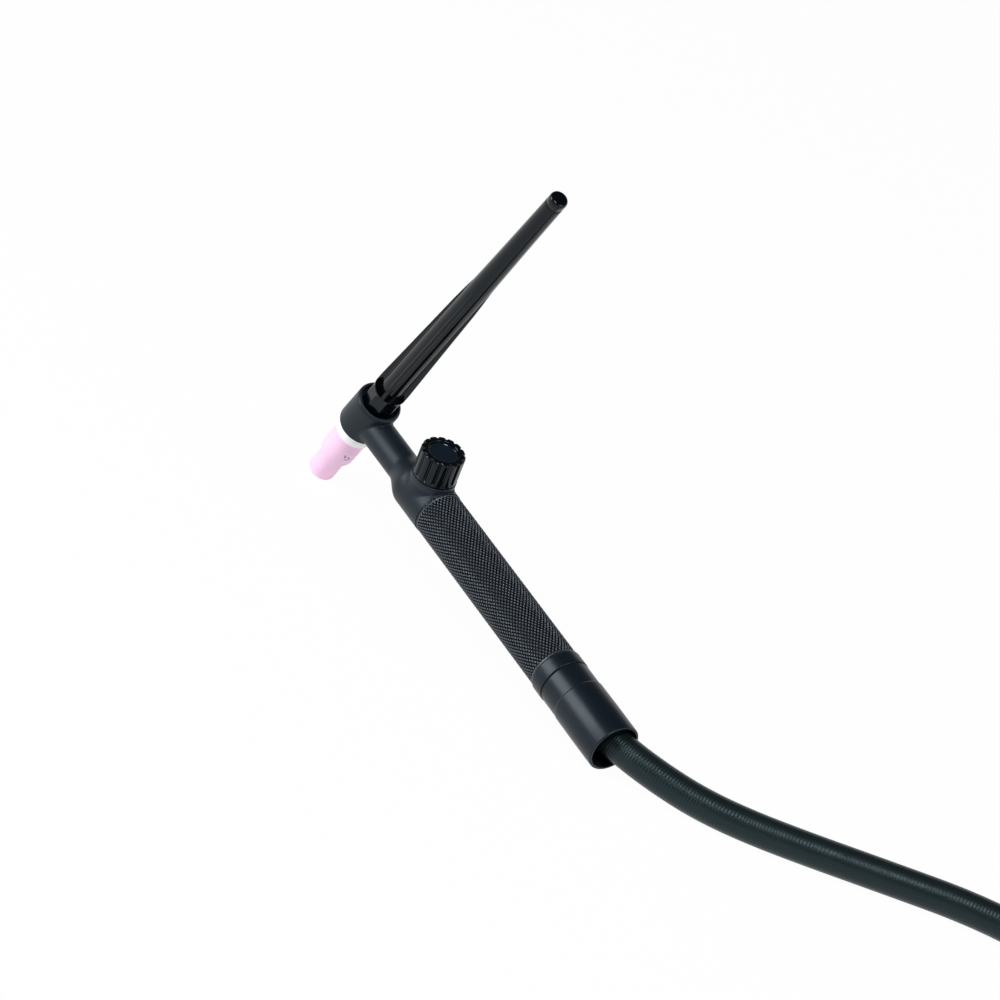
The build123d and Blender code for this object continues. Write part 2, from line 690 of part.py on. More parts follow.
# ==== the stored length: two columns of turns, three layers high, folded at both ends
fold_inside = HANK_FOLD_R - HANK_COLUMN_PITCH / 2
fold_outside = outer_fold + HANK_COLUMN_PITCH / 2
hank_centre = Vector(HANK_X + HANK_RUN / 2, HANK_Y, hank_bottom)
with BuildPart() as cable_hank:
    with BuildSketch(Plane(origin=hank_centre)) as outline:
        SlotCenterToCenter(HANK_RUN, fold_outside * 2)
        SlotCenterToCenter(HANK_RUN, fold_inside * 2, mode=Mode.SUBTRACT)
    extrude(outline.sketch, amount=hank_top - hank_bottom)


def strap_round(run_middle, station):
    """A flat strap closed round one of the hank's two straight runs."""
    start = Vector(HANK_X + station - STRAP_WIDTH / 2, run_middle, (hank_bottom + hank_top) / 2)
    with BuildSketch(Plane(origin=start, x_dir=(0, 1, 0), z_dir=(1, 0, 0))) as loop:
        Rectangle(fold_outside - fold_inside + 2 * STRAP_THICK, hank_top - hank_bottom + 2 * STRAP_THICK)
        Rectangle(fold_outside - fold_inside, hank_top - hank_bottom, mode=Mode.SUBTRACT)
    extrude(loop.sketch, amount=STRAP_WIDTH)


run_offset = (fold_inside + fold_outside) / 2
with BuildPart() as outer_strap:
    strap_round(HANK_Y + run_offset, OUTER_STRAP_STATION)

with BuildPart() as inner_strap:
    strap_round(HANK_Y - run_offset, INNER_STRAP_STATION)

# ==== the cable's far end rises out of the hank's top inner turn and lies on the hank
tail_route = [
    Vector(HANK_X, HANK_Y + HANK_FOLD_R, last_layer),
    Vector(340.0, 83.5, 29.9),
    Vector(368.0, 85.3, 37.4),
    Vector(400.0, 88.2, 44.6),
    Vector(437.0, 89.6, end_height),
]
with BuildPart() as cable_tail:
    tail_length, tail_radii = cable_along(tail_route)

FAR = Plane(origin=tail_route[-1], x_dir=(0, 0, 1), z_dir=(tail_route[-1] - tail_route[-2]).normalized())

with BuildPart() as strain_relief:
    turn(
        FAR,
        [
            (CABLE_R, -RELIEF_LENGTH),
            (RELIEF_END_R, -RELIEF_LENGTH),
            (RELIEF_R, 0),
            (CABLE_R, 0),
        ],
    )

with BuildPart() as end_ferrule:
    pipe(FAR, END_FERRULE_R, NIPPLE_BORE_R, 0, END_FERRULE)

with BuildPart() as end_nipple:
    turn(
        FAR,
        [
            (NIPPLE_BORE_R, END_FERRULE),
            (NIPPLE_R, END_FERRULE),
            (NIPPLE_R, NIPPLE_COLLAR),
            (NIPPLE_COLLAR_R, NIPPLE_COLLAR),
            (NIPPLE_COLLAR_R, NIPPLE_CONE),
            (NIPPLE_TIP_R, NIPPLE_END),
            (NIPPLE_BORE_R, NIPPLE_END),
        ],
    )

with BuildPart() as union_nut:
    with BuildSketch(FAR.offset(NUT_START)) as hexagon:
        RegularPolygon(NUT_FLATS / 2, 6, major_radius=False)
    extrude(hexagon.sketch, amount=NUT_END - NUT_START)
    rod(FAR, NIPPLE_R + RUN_CLEARANCE, NUT_START, NUT_LIP_END, Mode.SUBTRACT)
    rod(FAR, NUT_RELIEF_R, NUT_LIP_END, NUT_THREAD_START, Mode.SUBTRACT)
    rod(FAR, NUT_THREAD_R, NUT_THREAD_START, NUT_END, Mode.SUBTRACT)

pieces = {
    "torch_body": torch_body,
    "head_socket": head_socket,
    "neck_tube": neck_tube,
    "valve_block": valve_block,
    "gland_nut": gland_nut,
    "valve_stem": valve_stem,
    "stem_oring": stem_oring,
    "valve_knob": valve_knob,
    "knob_disc": knob_disc,
    "knob_screw": knob_screw,
    "collet_body": collet_body,
    "collet": collet,
    "electrode": electrode,
    "heat_shield": heat_shield,
    "nozzle": nozzle,
    "back_cap": back_cap,
    "cap_insert": cap_insert,
    "cap_oring": cap_oring,
    "grip_sleeve": grip_sleeve,
    "grip_oring": grip_oring,
    "rear_sleeve": rear_sleeve,
    "hose_tail": hose_tail,
    "tail_nut": tail_nut,
    "cable_lead": cable_lead,
    "crimp_ferrule": crimp_ferrule,
    "conductor": conductor,
    "power_cable": power_cable,
    "cable_hank": cable_hank,
    "outer_strap": outer_strap,
    "inner_strap": inner_strap,
    "cable_tail": cable_tail,
    "strain_relief": strain_relief,
    "end_ferrule": end_ferrule,
    "end_nipple": end_nipple,
    "union_nut": union_nut,
}
os.makedirs("parts", exist_ok=True)
for name, piece in pieces.items():
    piece.part.label = name
    export_step(piece.part, f"parts/{name}.step")
    print(name, "solids", len(piece.part.solids()), "volume", round(piece.part.volume, 2))

section_area = pi * CABLE_R**2
for title, piece, length, radii in (
    ("power_cable", power_cable, cable_length, cable_radii),
    ("cable_tail", cable_tail, tail_length, tail_radii),
):
    share = piece.part.volume / (section_area * length)
    print(title, "length", round(length, 1), "volume share", round(share, 4))
    print(title, "bend radii", [round(radius, 1) for radius in radii])
print("head axis crosses the handle axis at", [round(value, 3) for value in cross])
print("tilt of the handle", round(tilt * 180 / pi, 3), "lean of the head", round(lean * 180 / pi, 3))
print("valve axis at", [round(value, 3) for value in VALVE.origin])
print("far end at", [round(value, 3) for value in FAR.origin], "along", [round(v, 5) for v in FAR.z_dir])
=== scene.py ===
# %% [markdown]
# # A welding torch, dressed piece by piece
#
# The torch is a small air-cooled one: a ceramic nozzle, a moulded head and neck, a valve
# knob, a knurled grip, an open rear sleeve and a long rubber cable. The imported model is
# loaded first. It is the fixed frame: every piece made below sits on it in metres, and
# rides on one of its bodies, so the joints keep working.

# %% Load the frame
import json
import math

import bmesh
import bpy
import numpy as np
from mathutils import Matrix, Vector


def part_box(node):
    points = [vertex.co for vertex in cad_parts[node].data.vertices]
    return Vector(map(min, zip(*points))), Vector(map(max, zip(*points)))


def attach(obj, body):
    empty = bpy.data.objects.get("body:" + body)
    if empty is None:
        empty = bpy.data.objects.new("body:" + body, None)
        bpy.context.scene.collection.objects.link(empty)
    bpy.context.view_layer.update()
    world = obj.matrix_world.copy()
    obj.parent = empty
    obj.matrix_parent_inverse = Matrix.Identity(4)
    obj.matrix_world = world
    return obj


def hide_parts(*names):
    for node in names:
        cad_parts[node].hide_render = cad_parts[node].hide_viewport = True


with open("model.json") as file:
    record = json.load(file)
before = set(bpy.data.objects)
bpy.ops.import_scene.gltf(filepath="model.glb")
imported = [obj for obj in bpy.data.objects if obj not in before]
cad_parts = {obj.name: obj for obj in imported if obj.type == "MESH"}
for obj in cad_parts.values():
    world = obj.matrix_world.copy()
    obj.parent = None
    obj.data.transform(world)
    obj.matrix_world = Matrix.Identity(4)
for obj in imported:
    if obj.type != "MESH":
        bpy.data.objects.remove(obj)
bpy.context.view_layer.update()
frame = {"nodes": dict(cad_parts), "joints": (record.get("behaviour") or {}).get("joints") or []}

nodes = frame["nodes"]
joints = {joint["name"]: joint for joint in frame["joints"]}

# %% [markdown]
# ## The camera
#
# A long lens far away keeps the torch's proportions calm, as catalogue pictures do.
# The camera is placed by its position and three directions: its right, its up and its back.
# Those are the columns of its rotation matrix, so no aiming constraint is needed.

# %% Place the camera
def new_piece(name, data):
    """An object in the scene, made from a mesh, a curve, a lamp or a camera."""
    piece = bpy.data.objects.new(name, data)
    bpy.context.scene.collection.objects.link(piece)
    return piece


CAMERA_PLACE = Vector((0.9029, -0.7916, 0.7510))
CAMERA_RIGHT = Vector((0.5406, 0.8107, 0.2250)).normalized()
CAMERA_BACK = Vector((0.6470, -0.5715, 0.5048)).normalized()
CAMERA_UP = CAMERA_BACK.cross(CAMERA_RIGHT).normalized()

camera_data = bpy.data.cameras.new("camera")
camera_data.lens = 146.64
camera_data.sensor_width = 36.0
camera_data.clip_start = 0.1
camera_data.clip_end = 50.0
camera = new_piece("camera", camera_data)
turned_to = Matrix((CAMERA_RIGHT, CAMERA_UP, CAMERA_BACK)).transposed().to_4x4()
camera.matrix_world = Matrix.Translation(CAMERA_PLACE) @ turned_to
bpy.context.scene.camera = camera
bpy.context.scene.view_settings.view_transform = "Standard"
print("camera at", [round(value, 3) for value in CAMERA_PLACE])

# %% [markdown]
# ## Three lathes
#
# Nearly every piece of the torch is round about one of three axes: the head's, the handle's
# and the valve's. Each axis becomes a small coordinate system, a "lathe", whose Z runs along
# the axis. The joints already know the axes, so the lathes are read from them and not guessed.

# %% Find the axes
MM = 0.001
ACROSS = Vector((0, 1, 0))
CAP_FOOT = 9.7


def lathe(origin, along):
    """A coordinate system whose Z runs along a piece's axis and whose X points across the torch."""
    side = along.cross(ACROSS)
    return Matrix.Translation(origin) @ Matrix((ACROSS, side, along)).transposed().to_4x4()


cap_axis = Vector(joints["cap_turn"]["axis"]).normalized()
valve_axis = Vector(joints["valve_turn"]["axis"]).normalized()
handle_axis = ACROSS.cross(valve_axis)
crossing = Vector(joints["cap_turn"]["pos_m"]) - cap_axis * CAP_FOOT * MM
HEAD = lathe(crossing, cap_axis)
HANDLE = lathe(crossing, handle_axis)
VALVE = lathe(Vector(joints["valve_turn"]["pos_m"]), valve_axis)
nut_axis = Vector(joints["cable_nut_spin"]["axis"]).normalized()
NUT_ORIGIN = Vector(joints["cable_nut_spin"]["pos_m"]) - nut_axis * 20.0 * MM
nut_side = nut_axis.cross(Vector((0, 0, 1))).normalized()
CABLE_END = Matrix.Translation(NUT_ORIGIN) @ Matrix(
    (nut_axis.cross(nut_side) * -1, nut_side * -1, nut_axis)
).transposed().to_4x4()
print("head axis", [round(value, 3) for value in cap_axis])
print("handle axis", [round(value, 3) for value in handle_axis])

# %% [markdown]
# ## Turning a profile
#
# A lathe piece starts as a profile: a list of (radius, height) corners, each with the radius
# that a maker would break the edge with. `soften` turns the corners into small arcs, and
# `skin` joins rings of points into one closed mesh. Building the rings directly gives full
# control of flutes and knurls later, which a Screw modifier couldn't. Faces are shaded smooth,
# and edges that turn by more than SHARP_FROM degrees stay crisp.

# %% Helpers for turned pieces
SHARP_FROM = 32


def soften(corners, steps=5):
    """Rounds a profile's corners. Each corner is (radius, height, edge radius)."""
    points = []
    count = len(corners)
    for index, (r, z, edge) in enumerate(corners):
        here = Vector((r, z))
        before = Vector(corners[index - 1][:2]) - here
        after = Vector(corners[(index + 1) % count][:2]) - here
        opening = before.angle(after) if before.length and after.length else math.pi
        if edge <= 0 or opening > math.pi - 0.01:
            points.append((r, z))
            continue
        reach = min(edge / math.tan(opening / 2), before.length * 0.49, after.length * 0.49)
        bend = reach * math.tan(opening / 2)
        middle = (before.normalized() + after.normalized()).normalized()
        centre = here + middle * (bend / math.sin(opening / 2))
        start = here + before.normalized() * reach - centre
        end = here + after.normalized() * reach - centre
        turn = start.angle_signed(end)
        for step in range(steps + 1):
            arm = start.copy()
            arm.rotate(Matrix.Rotation(-turn * step / steps, 2))
            points.append(tuple(centre + arm))
    return points


def skin(name, rings, place, body):
    """Joins rings of points, in millimetres on a lathe, into a closed mesh that rides on a body."""
    rings = np.asarray(rings, float)
    count, around = rings.shape[:2]
    first = (np.arange(count) * around)[:, None]
    second = ((np.arange(count) + 1) % count * around)[:, None]
    column = np.arange(around)[None, :]
    following = (column + 1) % around
    faces = np.stack([first + column, first + following, second + following, second + column], -1)
    mesh = bpy.data.meshes.new(name)
    mesh.from_pydata((rings.reshape(-1, 3) * MM).tolist(), [], faces.reshape(-1, 4).tolist())
    mesh.transform(place)
    shape = bmesh.new()
    shape.from_mesh(mesh)
    bmesh.ops.remove_doubles(shape, verts=shape.verts, dist=1e-7)
    bmesh.ops.dissolve_degenerate(shape, edges=shape.edges, dist=1e-8)
    bmesh.ops.recalc_face_normals(shape, faces=shape.faces)
    shape.to_mesh(mesh)
    shape.free()
    mesh.shade_smooth()
    mesh.set_sharp_from_angle(angle=math.radians(SHARP_FROM))
    piece = new_piece(name, mesh)
    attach(piece, body)
    return piece


def full_turn(count):
    """Evenly spaced angles once round."""
    return np.linspace(0, 2 * np.pi, count, endpoint=False)


def ring_at(radius, angles, z):
    """A ring of points. The radius is one number, or one for each angle."""
    spread = radius + 0 * angles
    return np.stack([spread * np.cos(angles), spread * np.sin(angles), z + 0 * angles], 1)


def turned(name, corners, place, body, around=128, steps=5):
    """A piece turned on a lathe from a closed profile."""
    rings = [ring_at(r, full_turn(around), z) for r, z in soften(corners, steps)]
    piece = skin(name, rings, place, body)
    print(name, "faces", len(piece.data.polygons))
    return piece


# %% [markdown]
# ## Shader effects that several materials share
#
# Moulded plastic, rubber and metal all need small unevenness. Each effect is built once as a
# node group with named inputs, and each material places it with its own values. The groups
# only put out values, masks and heights; the Principled shader stays in the material itself.

# %% Tools for node trees
def add_node(tree, kind, **settings):
    """Adds a shader node and sets its properties."""
    node = tree.nodes.new(kind)
    for key, value in settings.items():
        setattr(node, key, value)
    return node


def new_group(name, inputs, outputs):
    """A shader node group with float sockets, and its two end nodes."""
    group = bpy.data.node_groups.new(name, "ShaderNodeTree")
    for title, value in inputs.items():
        socket = group.interface.new_socket(title, in_out="INPUT", socket_type="NodeSocketFloat")
        socket.default_value = value
    for title in outputs:
        group.interface.new_socket(title, in_out="OUTPUT", socket_type="NodeSocketFloat")
    return group, add_node(group, "NodeGroupInput"), add_node(group, "NodeGroupOutput")


def noise(tree, scale, detail=3.0, rough=0.55, vector=None):
    """A noise texture in object space, so that it stays on the piece."""
    if vector is None:
        vector = add_node(tree, "ShaderNodeTexCoord").outputs["Object"]
    texture = add_node(tree, "ShaderNodeTexNoise")
    tree.links.new(vector, texture.inputs["Vector"])
    if isinstance(scale, (int, float)):
        texture.inputs["Scale"].default_value = scale
    else:
        tree.links.new(scale, texture.inputs["Scale"])
    texture.inputs["Detail"].default_value = detail
    texture.inputs["Roughness"].default_value = rough
    return texture.outputs["Fac"]


def math_node(tree, operation, first, second=0.5, third=None):
    """One Math node with its inputs linked or set."""
    node = add_node(tree, "ShaderNodeMath", operation=operation)
    for socket, value in zip(node.inputs, (first, second, third)):
        if value is None:
            continue
        if isinstance(value, (int, float)):
            socket.default_value = value
        else:
            tree.links.new(value, socket)
    return node.outputs[0]


# %% The mould grain group
grain_group, grain_in, grain_out = new_group(
    "mould grain",
    {"Fine Scale": 4200.0, "Broad Scale": 60.0, "Roughness": 0.5, "Roughness Spread": 0.1},
    ["Height", "Roughness", "Shade"],
)
fine = noise(grain_group, grain_in.outputs["Fine Scale"], 2.0, 0.5)
broad = noise(grain_group, grain_in.outputs["Broad Scale"], 4.0, 0.6)
swing = math_node(grain_group, "SUBTRACT", broad, 0.5)
swing = math_node(grain_group, "MULTIPLY", swing, grain_in.outputs["Roughness Spread"])
grain_rough = math_node(grain_group, "ADD", swing, grain_in.outputs["Roughness"])
grain_group.links.new(fine, grain_out.inputs["Height"])
grain_group.links.new(grain_rough, grain_out.inputs["Roughness"])
grain_group.links.new(broad, grain_out.inputs["Shade"])
print("mould grain nodes", len(grain_group.nodes))

# %% The edge wear group
wear_group, wear_in, wear_out = new_group(
    "edge wear", {"Edge From": 0.515, "Edge To": 0.56, "Break Scale": 350.0}, ["Mask"]
)
edge = add_node(wear_group, "ShaderNodeNewGeometry").outputs["Pointiness"]
edge_range = add_node(wear_group, "ShaderNodeMapRange", clamp=True)
wear_group.links.new(edge, edge_range.inputs["Value"])
wear_group.links.new(wear_in.outputs["Edge From"], edge_range.inputs["From Min"])
wear_group.links.new(wear_in.outputs["Edge To"], edge_range.inputs["From Max"])
breaks = noise(wear_group, wear_in.outputs["Break Scale"], 3.0, 0.6)
worn = math_node(wear_group, "MULTIPLY", edge_range.outputs["Result"], breaks)
wear_group.links.new(worn, wear_out.inputs["Mask"])
print("edge wear nodes", len(wear_group.nodes))

# %% The handling marks group
scuff_group, scuff_in, scuff_out = new_group(
    "handling marks", {"Scale": 90.0, "Stretch": 6.0, "Amount": 0.6}, ["Mask"]
)
scuff_place = add_node(scuff_group, "ShaderNodeTexCoord")
scuff_map = add_node(scuff_group, "ShaderNodeVectorMath", operation="MULTIPLY")
stretch = add_node(scuff_group, "ShaderNodeCombineXYZ")
stretch.inputs["X"].default_value = 1.0
stretch.inputs["Y"].default_value = 1.0
scuff_group.links.new(scuff_in.outputs["Stretch"], stretch.inputs["Z"])
scuff_group.links.new(scuff_place.outputs["Object"], scuff_map.inputs[0])
scuff_group.links.new(stretch.outputs["Vector"], scuff_map.inputs[1])
streaks = noise(scuff_group, scuff_in.outputs["Scale"], 6.0, 0.7, scuff_map.outputs["Vector"])
thin = math_node(scuff_group, "POWER", streaks, 5.0)
strong = math_node(scuff_group, "MULTIPLY", thin, scuff_in.outputs["Amount"])
scuff_group.links.new(strong, scuff_out.inputs["Mask"])
print("groups", [group.name for group in bpy.data.node_groups])

# %% [markdown]
# ## The materials
#
# One function builds the moulded and rubber finishes, because they differ only in colour,
# gloss and grain. It mixes a worn shade over the base colour, drives the roughness with the
# broad grain and raises the fine grain with a Bump node. Constants such as the specular level
# are written on the shader's own sockets. Black plastic looks blue-black in cool studio light,
# so the dark finishes that face it tint their reflections a little.

# %% Tools for materials
NEUTRAL, COOL = (1.0, 1.0, 1.0), (0.76, 0.90, 1.0)


def place_group(tree, group, **values):
    """Places a node group and sets its inputs."""
    node = add_node(tree, "ShaderNodeGroup", node_tree=group)
    for title, value in values.items():
        node.inputs[title.replace("_", " ")].default_value = value
    return node


def start_material(name):
    """A fresh material with one Principled shader."""
    material = bpy.data.materials.new(name)
    material.use_nodes = True
    tree = material.node_tree
    return material, tree, tree.nodes["Principled BSDF"]


def mix_colour(tree, factor, first, second):
    """Mixes two colours by a factor from 0 to 1."""
    node = add_node(tree, "ShaderNodeMix", data_type="RGBA")
    tree.links.new(factor, node.inputs["Factor"])
    # The node's sockets for colours come after those for numbers and vectors.
    for socket, value in ((node.inputs[6], first), (node.inputs[7], second)):
        if isinstance(value, tuple):
            socket.default_value = (*value, 1.0)
        else:
            tree.links.new(value, socket)
    return node.outputs[2]


def raise_bump(tree, shader, height, distance):
    """Raises a height on a shader's surface."""
    bump = add_node(tree, "ShaderNodeBump")
    bump.inputs["Distance"].default_value = distance
    tree.links.new(height, bump.inputs["Height"])
    tree.links.new(bump.outputs["Normal"], shader.inputs["Normal"])


def moulded(name, colour, shade, worn, roughness, spread, grain, grain_scale, specular, tint=NEUTRAL):
    """A moulded plastic, rubber or ceramic finish."""
    material, tree, shader = start_material(name)
    grain_node = place_group(
        tree, grain_group, Fine_Scale=grain_scale, Roughness=roughness, Roughness_Spread=spread
    )
    wear_node = place_group(tree, wear_group)
    marks = place_group(tree, scuff_group)
    toned = mix_colour(tree, grain_node.outputs["Shade"], colour, shade)
    mask = math_node(tree, "MAXIMUM", wear_node.outputs["Mask"], marks.outputs["Mask"])
    tree.links.new(mix_colour(tree, mask, toned, worn), shader.inputs["Base Color"])
    tree.links.new(grain_node.outputs["Roughness"], shader.inputs["Roughness"])
    raise_bump(tree, shader, grain_node.outputs["Height"], grain)
    shader.inputs["Specular IOR Level"].default_value = specular
    shader.inputs["Specular Tint"].default_value = (*tint, 1.0)
    return material


# %% Moulded finishes
BODY_RUBBER = moulded(
    "body rubber", (0.0042, 0.0078, 0.0125), (0.0066, 0.0112, 0.0170), (0.026, 0.032, 0.040),
    roughness=0.42, spread=0.14, grain=0.000010, grain_scale=5200.0, specular=0.26, tint=COOL,
)
# The knurl's lands are painted much lighter than the plain band of the same moulding: a painted sheen where
# facets catch the light.
GRIP_LANDS_PAINTED_SHEEN = moulded(
    "grip lands painted sheen", (0.0240, 0.0300, 0.0400), (0.0320, 0.0390, 0.0500), (0.110, 0.120, 0.135),
    roughness=0.34, spread=0.12, grain=0.000006, grain_scale=5200.0, specular=0.50, tint=COOL,
)
# The knurl's hollows are near black and barely reflect: painted shade in the grooves.
GRIP_HOLLOWS_PAINTED_SHADE = moulded(
    "grip hollows painted shade", (0.0012, 0.0020, 0.0034), (0.0020, 0.0030, 0.0048), (0.006, 0.008, 0.010),
    roughness=0.55, spread=0.12, grain=0.000006, grain_scale=5200.0, specular=0.08, tint=COOL,
)
SLEEVE_PLASTIC = moulded(
    "sleeve plastic", (0.0028, 0.0060, 0.0098), (0.0046, 0.0086, 0.0130), (0.022, 0.028, 0.036),
    roughness=0.34, spread=0.12, grain=0.000006, grain_scale=4800.0, specular=0.27, tint=COOL,
)
NOZZLE_CERAMIC = moulded(
    "nozzle ceramic", (0.90, 0.58, 0.80), (0.93, 0.63, 0.85), (0.95, 0.74, 0.88),
    roughness=0.48, spread=0.10, grain=0.000006, grain_scale=6000.0, specular=0.4,
)
SHIELD_WHITE = moulded(
    "shield white", (0.91, 0.93, 0.95), (0.93, 0.95, 0.96), (0.95, 0.96, 0.96),
    roughness=0.42, spread=0.08, grain=0.000004, grain_scale=4000.0, specular=0.4,
)
SEAL_RUBBER = moulded(
    "seal rubber", (0.012, 0.012, 0.013), (0.020, 0.020, 0.021), (0.05, 0.05, 0.05),
    roughness=0.5, spread=0.1, grain=0.000008, grain_scale=5000.0, specular=0.4,
)
RELIEF_RUBBER = moulded(
    "relief rubber", (0.010, 0.012, 0.014), (0.015, 0.017, 0.019), (0.05, 0.05, 0.05),
    roughness=0.5, spread=0.12, grain=0.000010, grain_scale=4500.0, specular=0.35,
)
print("moulded finishes ready")

# %% [markdown]
# ### Gloss
#
# The back cap and the knob are a hard, polished plastic. Polished plastic is never quite
# clean, so the roughness still changes a little, and thin handling marks dull it in places.
# A very low, broad bump keeps the highlights from being as straight as on glass.

# %% Gloss finishes
def polished(name, colour, roughness, specular, tint=COOL):
    """A hard polished plastic with faint handling marks."""
    material, tree, shader = start_material(name)
    grain_node = place_group(
        tree, grain_group, Fine_Scale=900.0, Broad_Scale=140.0,
        Roughness=roughness, Roughness_Spread=0.10,
    )
    marks = place_group(tree, scuff_group, Scale=160.0, Stretch=0.3, Amount=0.7)
    dulled = math_node(
        tree, "MULTIPLY_ADD", marks.outputs["Mask"], 0.25, grain_node.outputs["Roughness"]
    )
    tree.links.new(dulled, shader.inputs["Roughness"])
    lighter = tuple(value * 1.8 + 0.002 for value in colour)
    tree.links.new(
        mix_colour(tree, marks.outputs["Mask"], colour, lighter), shader.inputs["Base Color"]
    )
    raise_bump(tree, shader, grain_node.outputs["Shade"], 0.000004)
    shader.inputs["Specular IOR Level"].default_value = specular
    shader.inputs["Specular Tint"].default_value = (*tint, 1.0)
    return material


CAP_GLOSS = polished("cap gloss", (0.0010, 0.0016, 0.0024), roughness=0.12, specular=0.25)
KNOB_GLOSS = polished("knob gloss", (0.0010, 0.0017, 0.0026), roughness=0.12, specular=0.30)
DISC_GLOSS = polished("disc gloss", (0.0036, 0.0080, 0.0150), roughness=0.12, specular=0.45)
print("gloss finishes ready")

# %% [markdown]
# ### Metal
#
# The inner pieces are turned brass and copper. A fine grain stands for the tool's marks and a
# broad one for uneven tarnish, and thin drawn-out streaks show the clean metal again.

# %% Metal finishes
def machined(name, colour, tarnish, roughness):
    """A turned metal with fine tool marks and uneven tarnish."""
    material, tree, shader = start_material(name)
    grain_node = place_group(
        tree, grain_group, Fine_Scale=2600.0, Broad_Scale=220.0,
        Roughness=roughness, Roughness_Spread=0.25,
    )
    marks = place_group(tree, scuff_group, Scale=240.0, Stretch=10.0, Amount=1.0)
    toned = mix_colour(tree, grain_node.outputs["Shade"], colour, tarnish)
    tree.links.new(mix_colour(tree, marks.outputs["Mask"], toned, colour), shader.inputs["Base Color"])
    tree.links.new(grain_node.outputs["Roughness"], shader.inputs["Roughness"])
    raise_bump(tree, shader, grain_node.outputs["Height"], 0.000006)
    shader.inputs["Metallic"].default_value = 1.0
    return material


BRASS = machined("turned brass", (0.72, 0.47, 0.17), (0.50, 0.30, 0.11), 0.28)
COPPER = machined("drawn copper", (0.80, 0.36, 0.22), (0.52, 0.22, 0.13), 0.30)
STEEL = machined("screw steel", (0.52, 0.52, 0.53), (0.34, 0.34, 0.35), 0.32)
TUNGSTEN = machined("ground tungsten", (0.36, 0.36, 0.38), (0.22, 0.22, 0.24), 0.35)
FERRULE_METAL = machined("crimped ferrule", (0.62, 0.50, 0.30), (0.42, 0.33, 0.20), 0.34)
print("metal finishes ready")

# %% [markdown]
# ## The power cable
#
# One jacket carries the gas and the copper. The cable is fixed in length, so it is drawn
# first: out of the open sleeve, down onto the bench, along a lazy bend and into a tied hank,
# whose last turn climbs onto the hank and ends in a brass nut. One smooth NURBS line follows
# the whole way, turns included, because the real cable is one piece too. The run to the hank
# and the tail follow a few chosen points, and the hank's turns are worked out by a loop.

# %% Draw the cable's line
CABLE_RADIUS = 0.0056
HANK_START = Vector((0.312, 0.049, 0.0))
HANK_RUN = 0.150
INNER_FOLD = 0.034
COLUMN_PITCH = 0.0116
LAYER_PITCH = 0.0113
FIRST_LAYER = 0.0064
FOLD_OUT = 1.035
OUTWARD_FOLD = range(78, -79, -26)
INWARD_FOLD = range(258, 101, -26)


def fold_points(centre_x, fold, angles, height):
    """Points round one fold of the hank, a little outside it because the smooth line cuts inside."""
    for angle in angles:
        yield (
            centre_x + fold * FOLD_OUT * math.cos(math.radians(angle)),
            HANK_START.y + fold * FOLD_OUT * math.sin(math.radians(angle)),
            height,
        )


cable_points = [
    (0.07450, 0.0, 0.01243),
    (0.0872, 0.0005, 0.0106),
    (0.0996, 0.0038, 0.0088),
    (0.1125, 0.0094, 0.0068),
    (0.1255, 0.0156, 0.0057),
    (0.1395, 0.0240, 0.0056),
    (0.1545, 0.0355, 0.0056),
    (0.1755, 0.0531, 0.0057),
    (0.2030, 0.0756, 0.0059),
    (0.2350, 0.0900, 0.0061),
    (0.2710, 0.0945, 0.0063),
]
# Each turn of the hank lies in a (column, layer) of the bundle.
hank_turns = [(1, 0), (0, 0), (0, 1), (1, 1), (1, 2), (0, 2)]
for number, (column, layer) in enumerate(hank_turns):
    fold = INNER_FOLD + column * COLUMN_PITCH
    height = FIRST_LAYER + layer * LAYER_PITCH
    following = hank_turns[min(number + 1, len(hank_turns) - 1)]
    next_fold = INNER_FOLD + following[0] * COLUMN_PITCH
    next_height = FIRST_LAYER + following[1] * LAYER_PITCH
    for share in (0.0, 0.33, 0.67):
        cable_points.append((HANK_START.x + HANK_RUN * share, HANK_START.y + fold, height))
    cable_points += fold_points(HANK_START.x + HANK_RUN, fold, OUTWARD_FOLD, height)
    for share in (1.0, 0.67, 0.33, 0.0):
        rising = (1 - share) * 0.9
        shift = fold + (next_fold - fold) * rising
        lift = height + (next_height - height) * rising
        cable_points.append((HANK_START.x + HANK_RUN * share, HANK_START.y - shift, lift))
    cable_points += fold_points(HANK_START.x, next_fold, INWARD_FOLD, next_height)
cable_points += [
    (0.3120, 0.0830, 0.0290),
    (0.3400, 0.0835, 0.0299),
    (0.3680, 0.0853, 0.0374),
    (0.4000, 0.0882, 0.0446),
    tuple(NUT_ORIGIN),
]
print("cable points", len(cable_points))


# %% Run one smooth line through the points
def smooth_line(name, points):
    """A curve of one NURBS spline that keeps to its first and last point."""
    curve = bpy.data.curves.new(name, "CURVE")
    curve.dimensions = "3D"
    curve.resolution_u = 6
    spline = curve.splines.new("NURBS")
    spline.points.add(len(points) - 1)
    for point, place in zip(spline.points, points):
        point.co = (*place, 1.0)
    spline.order_u = 3
    spline.use_endpoint_u = True
    return new_piece(name, curve)


cable = smooth_line("cable_jacket", cable_points)
measured = bpy.data.meshes.new_from_object(cable)
line = [vertex.co.copy() for vertex in measured.vertices]
CABLE_LENGTH = sum((b - a).length for a, b in zip(line, line[1:]))
bpy.data.meshes.remove(measured)
cable.data.bevel_depth = CABLE_RADIUS
cable.data.bevel_resolution = 8
cable.data.use_fill_caps = True
print("cable length in metres", round(CABLE_LENGTH, 3))

# %% [markdown]
# ### The jacket
#
# The jacket is satin rubber with a faint crosswise ribbing that shows where light runs along
# it. The ribs are too fine to model on nearly four metres, so a sine along the curve's own
# coordinate raises them in the shader. That coordinate counts the curve's points and not its
# length, so a Float Curve node turns it into length first, and the ribs come out even.

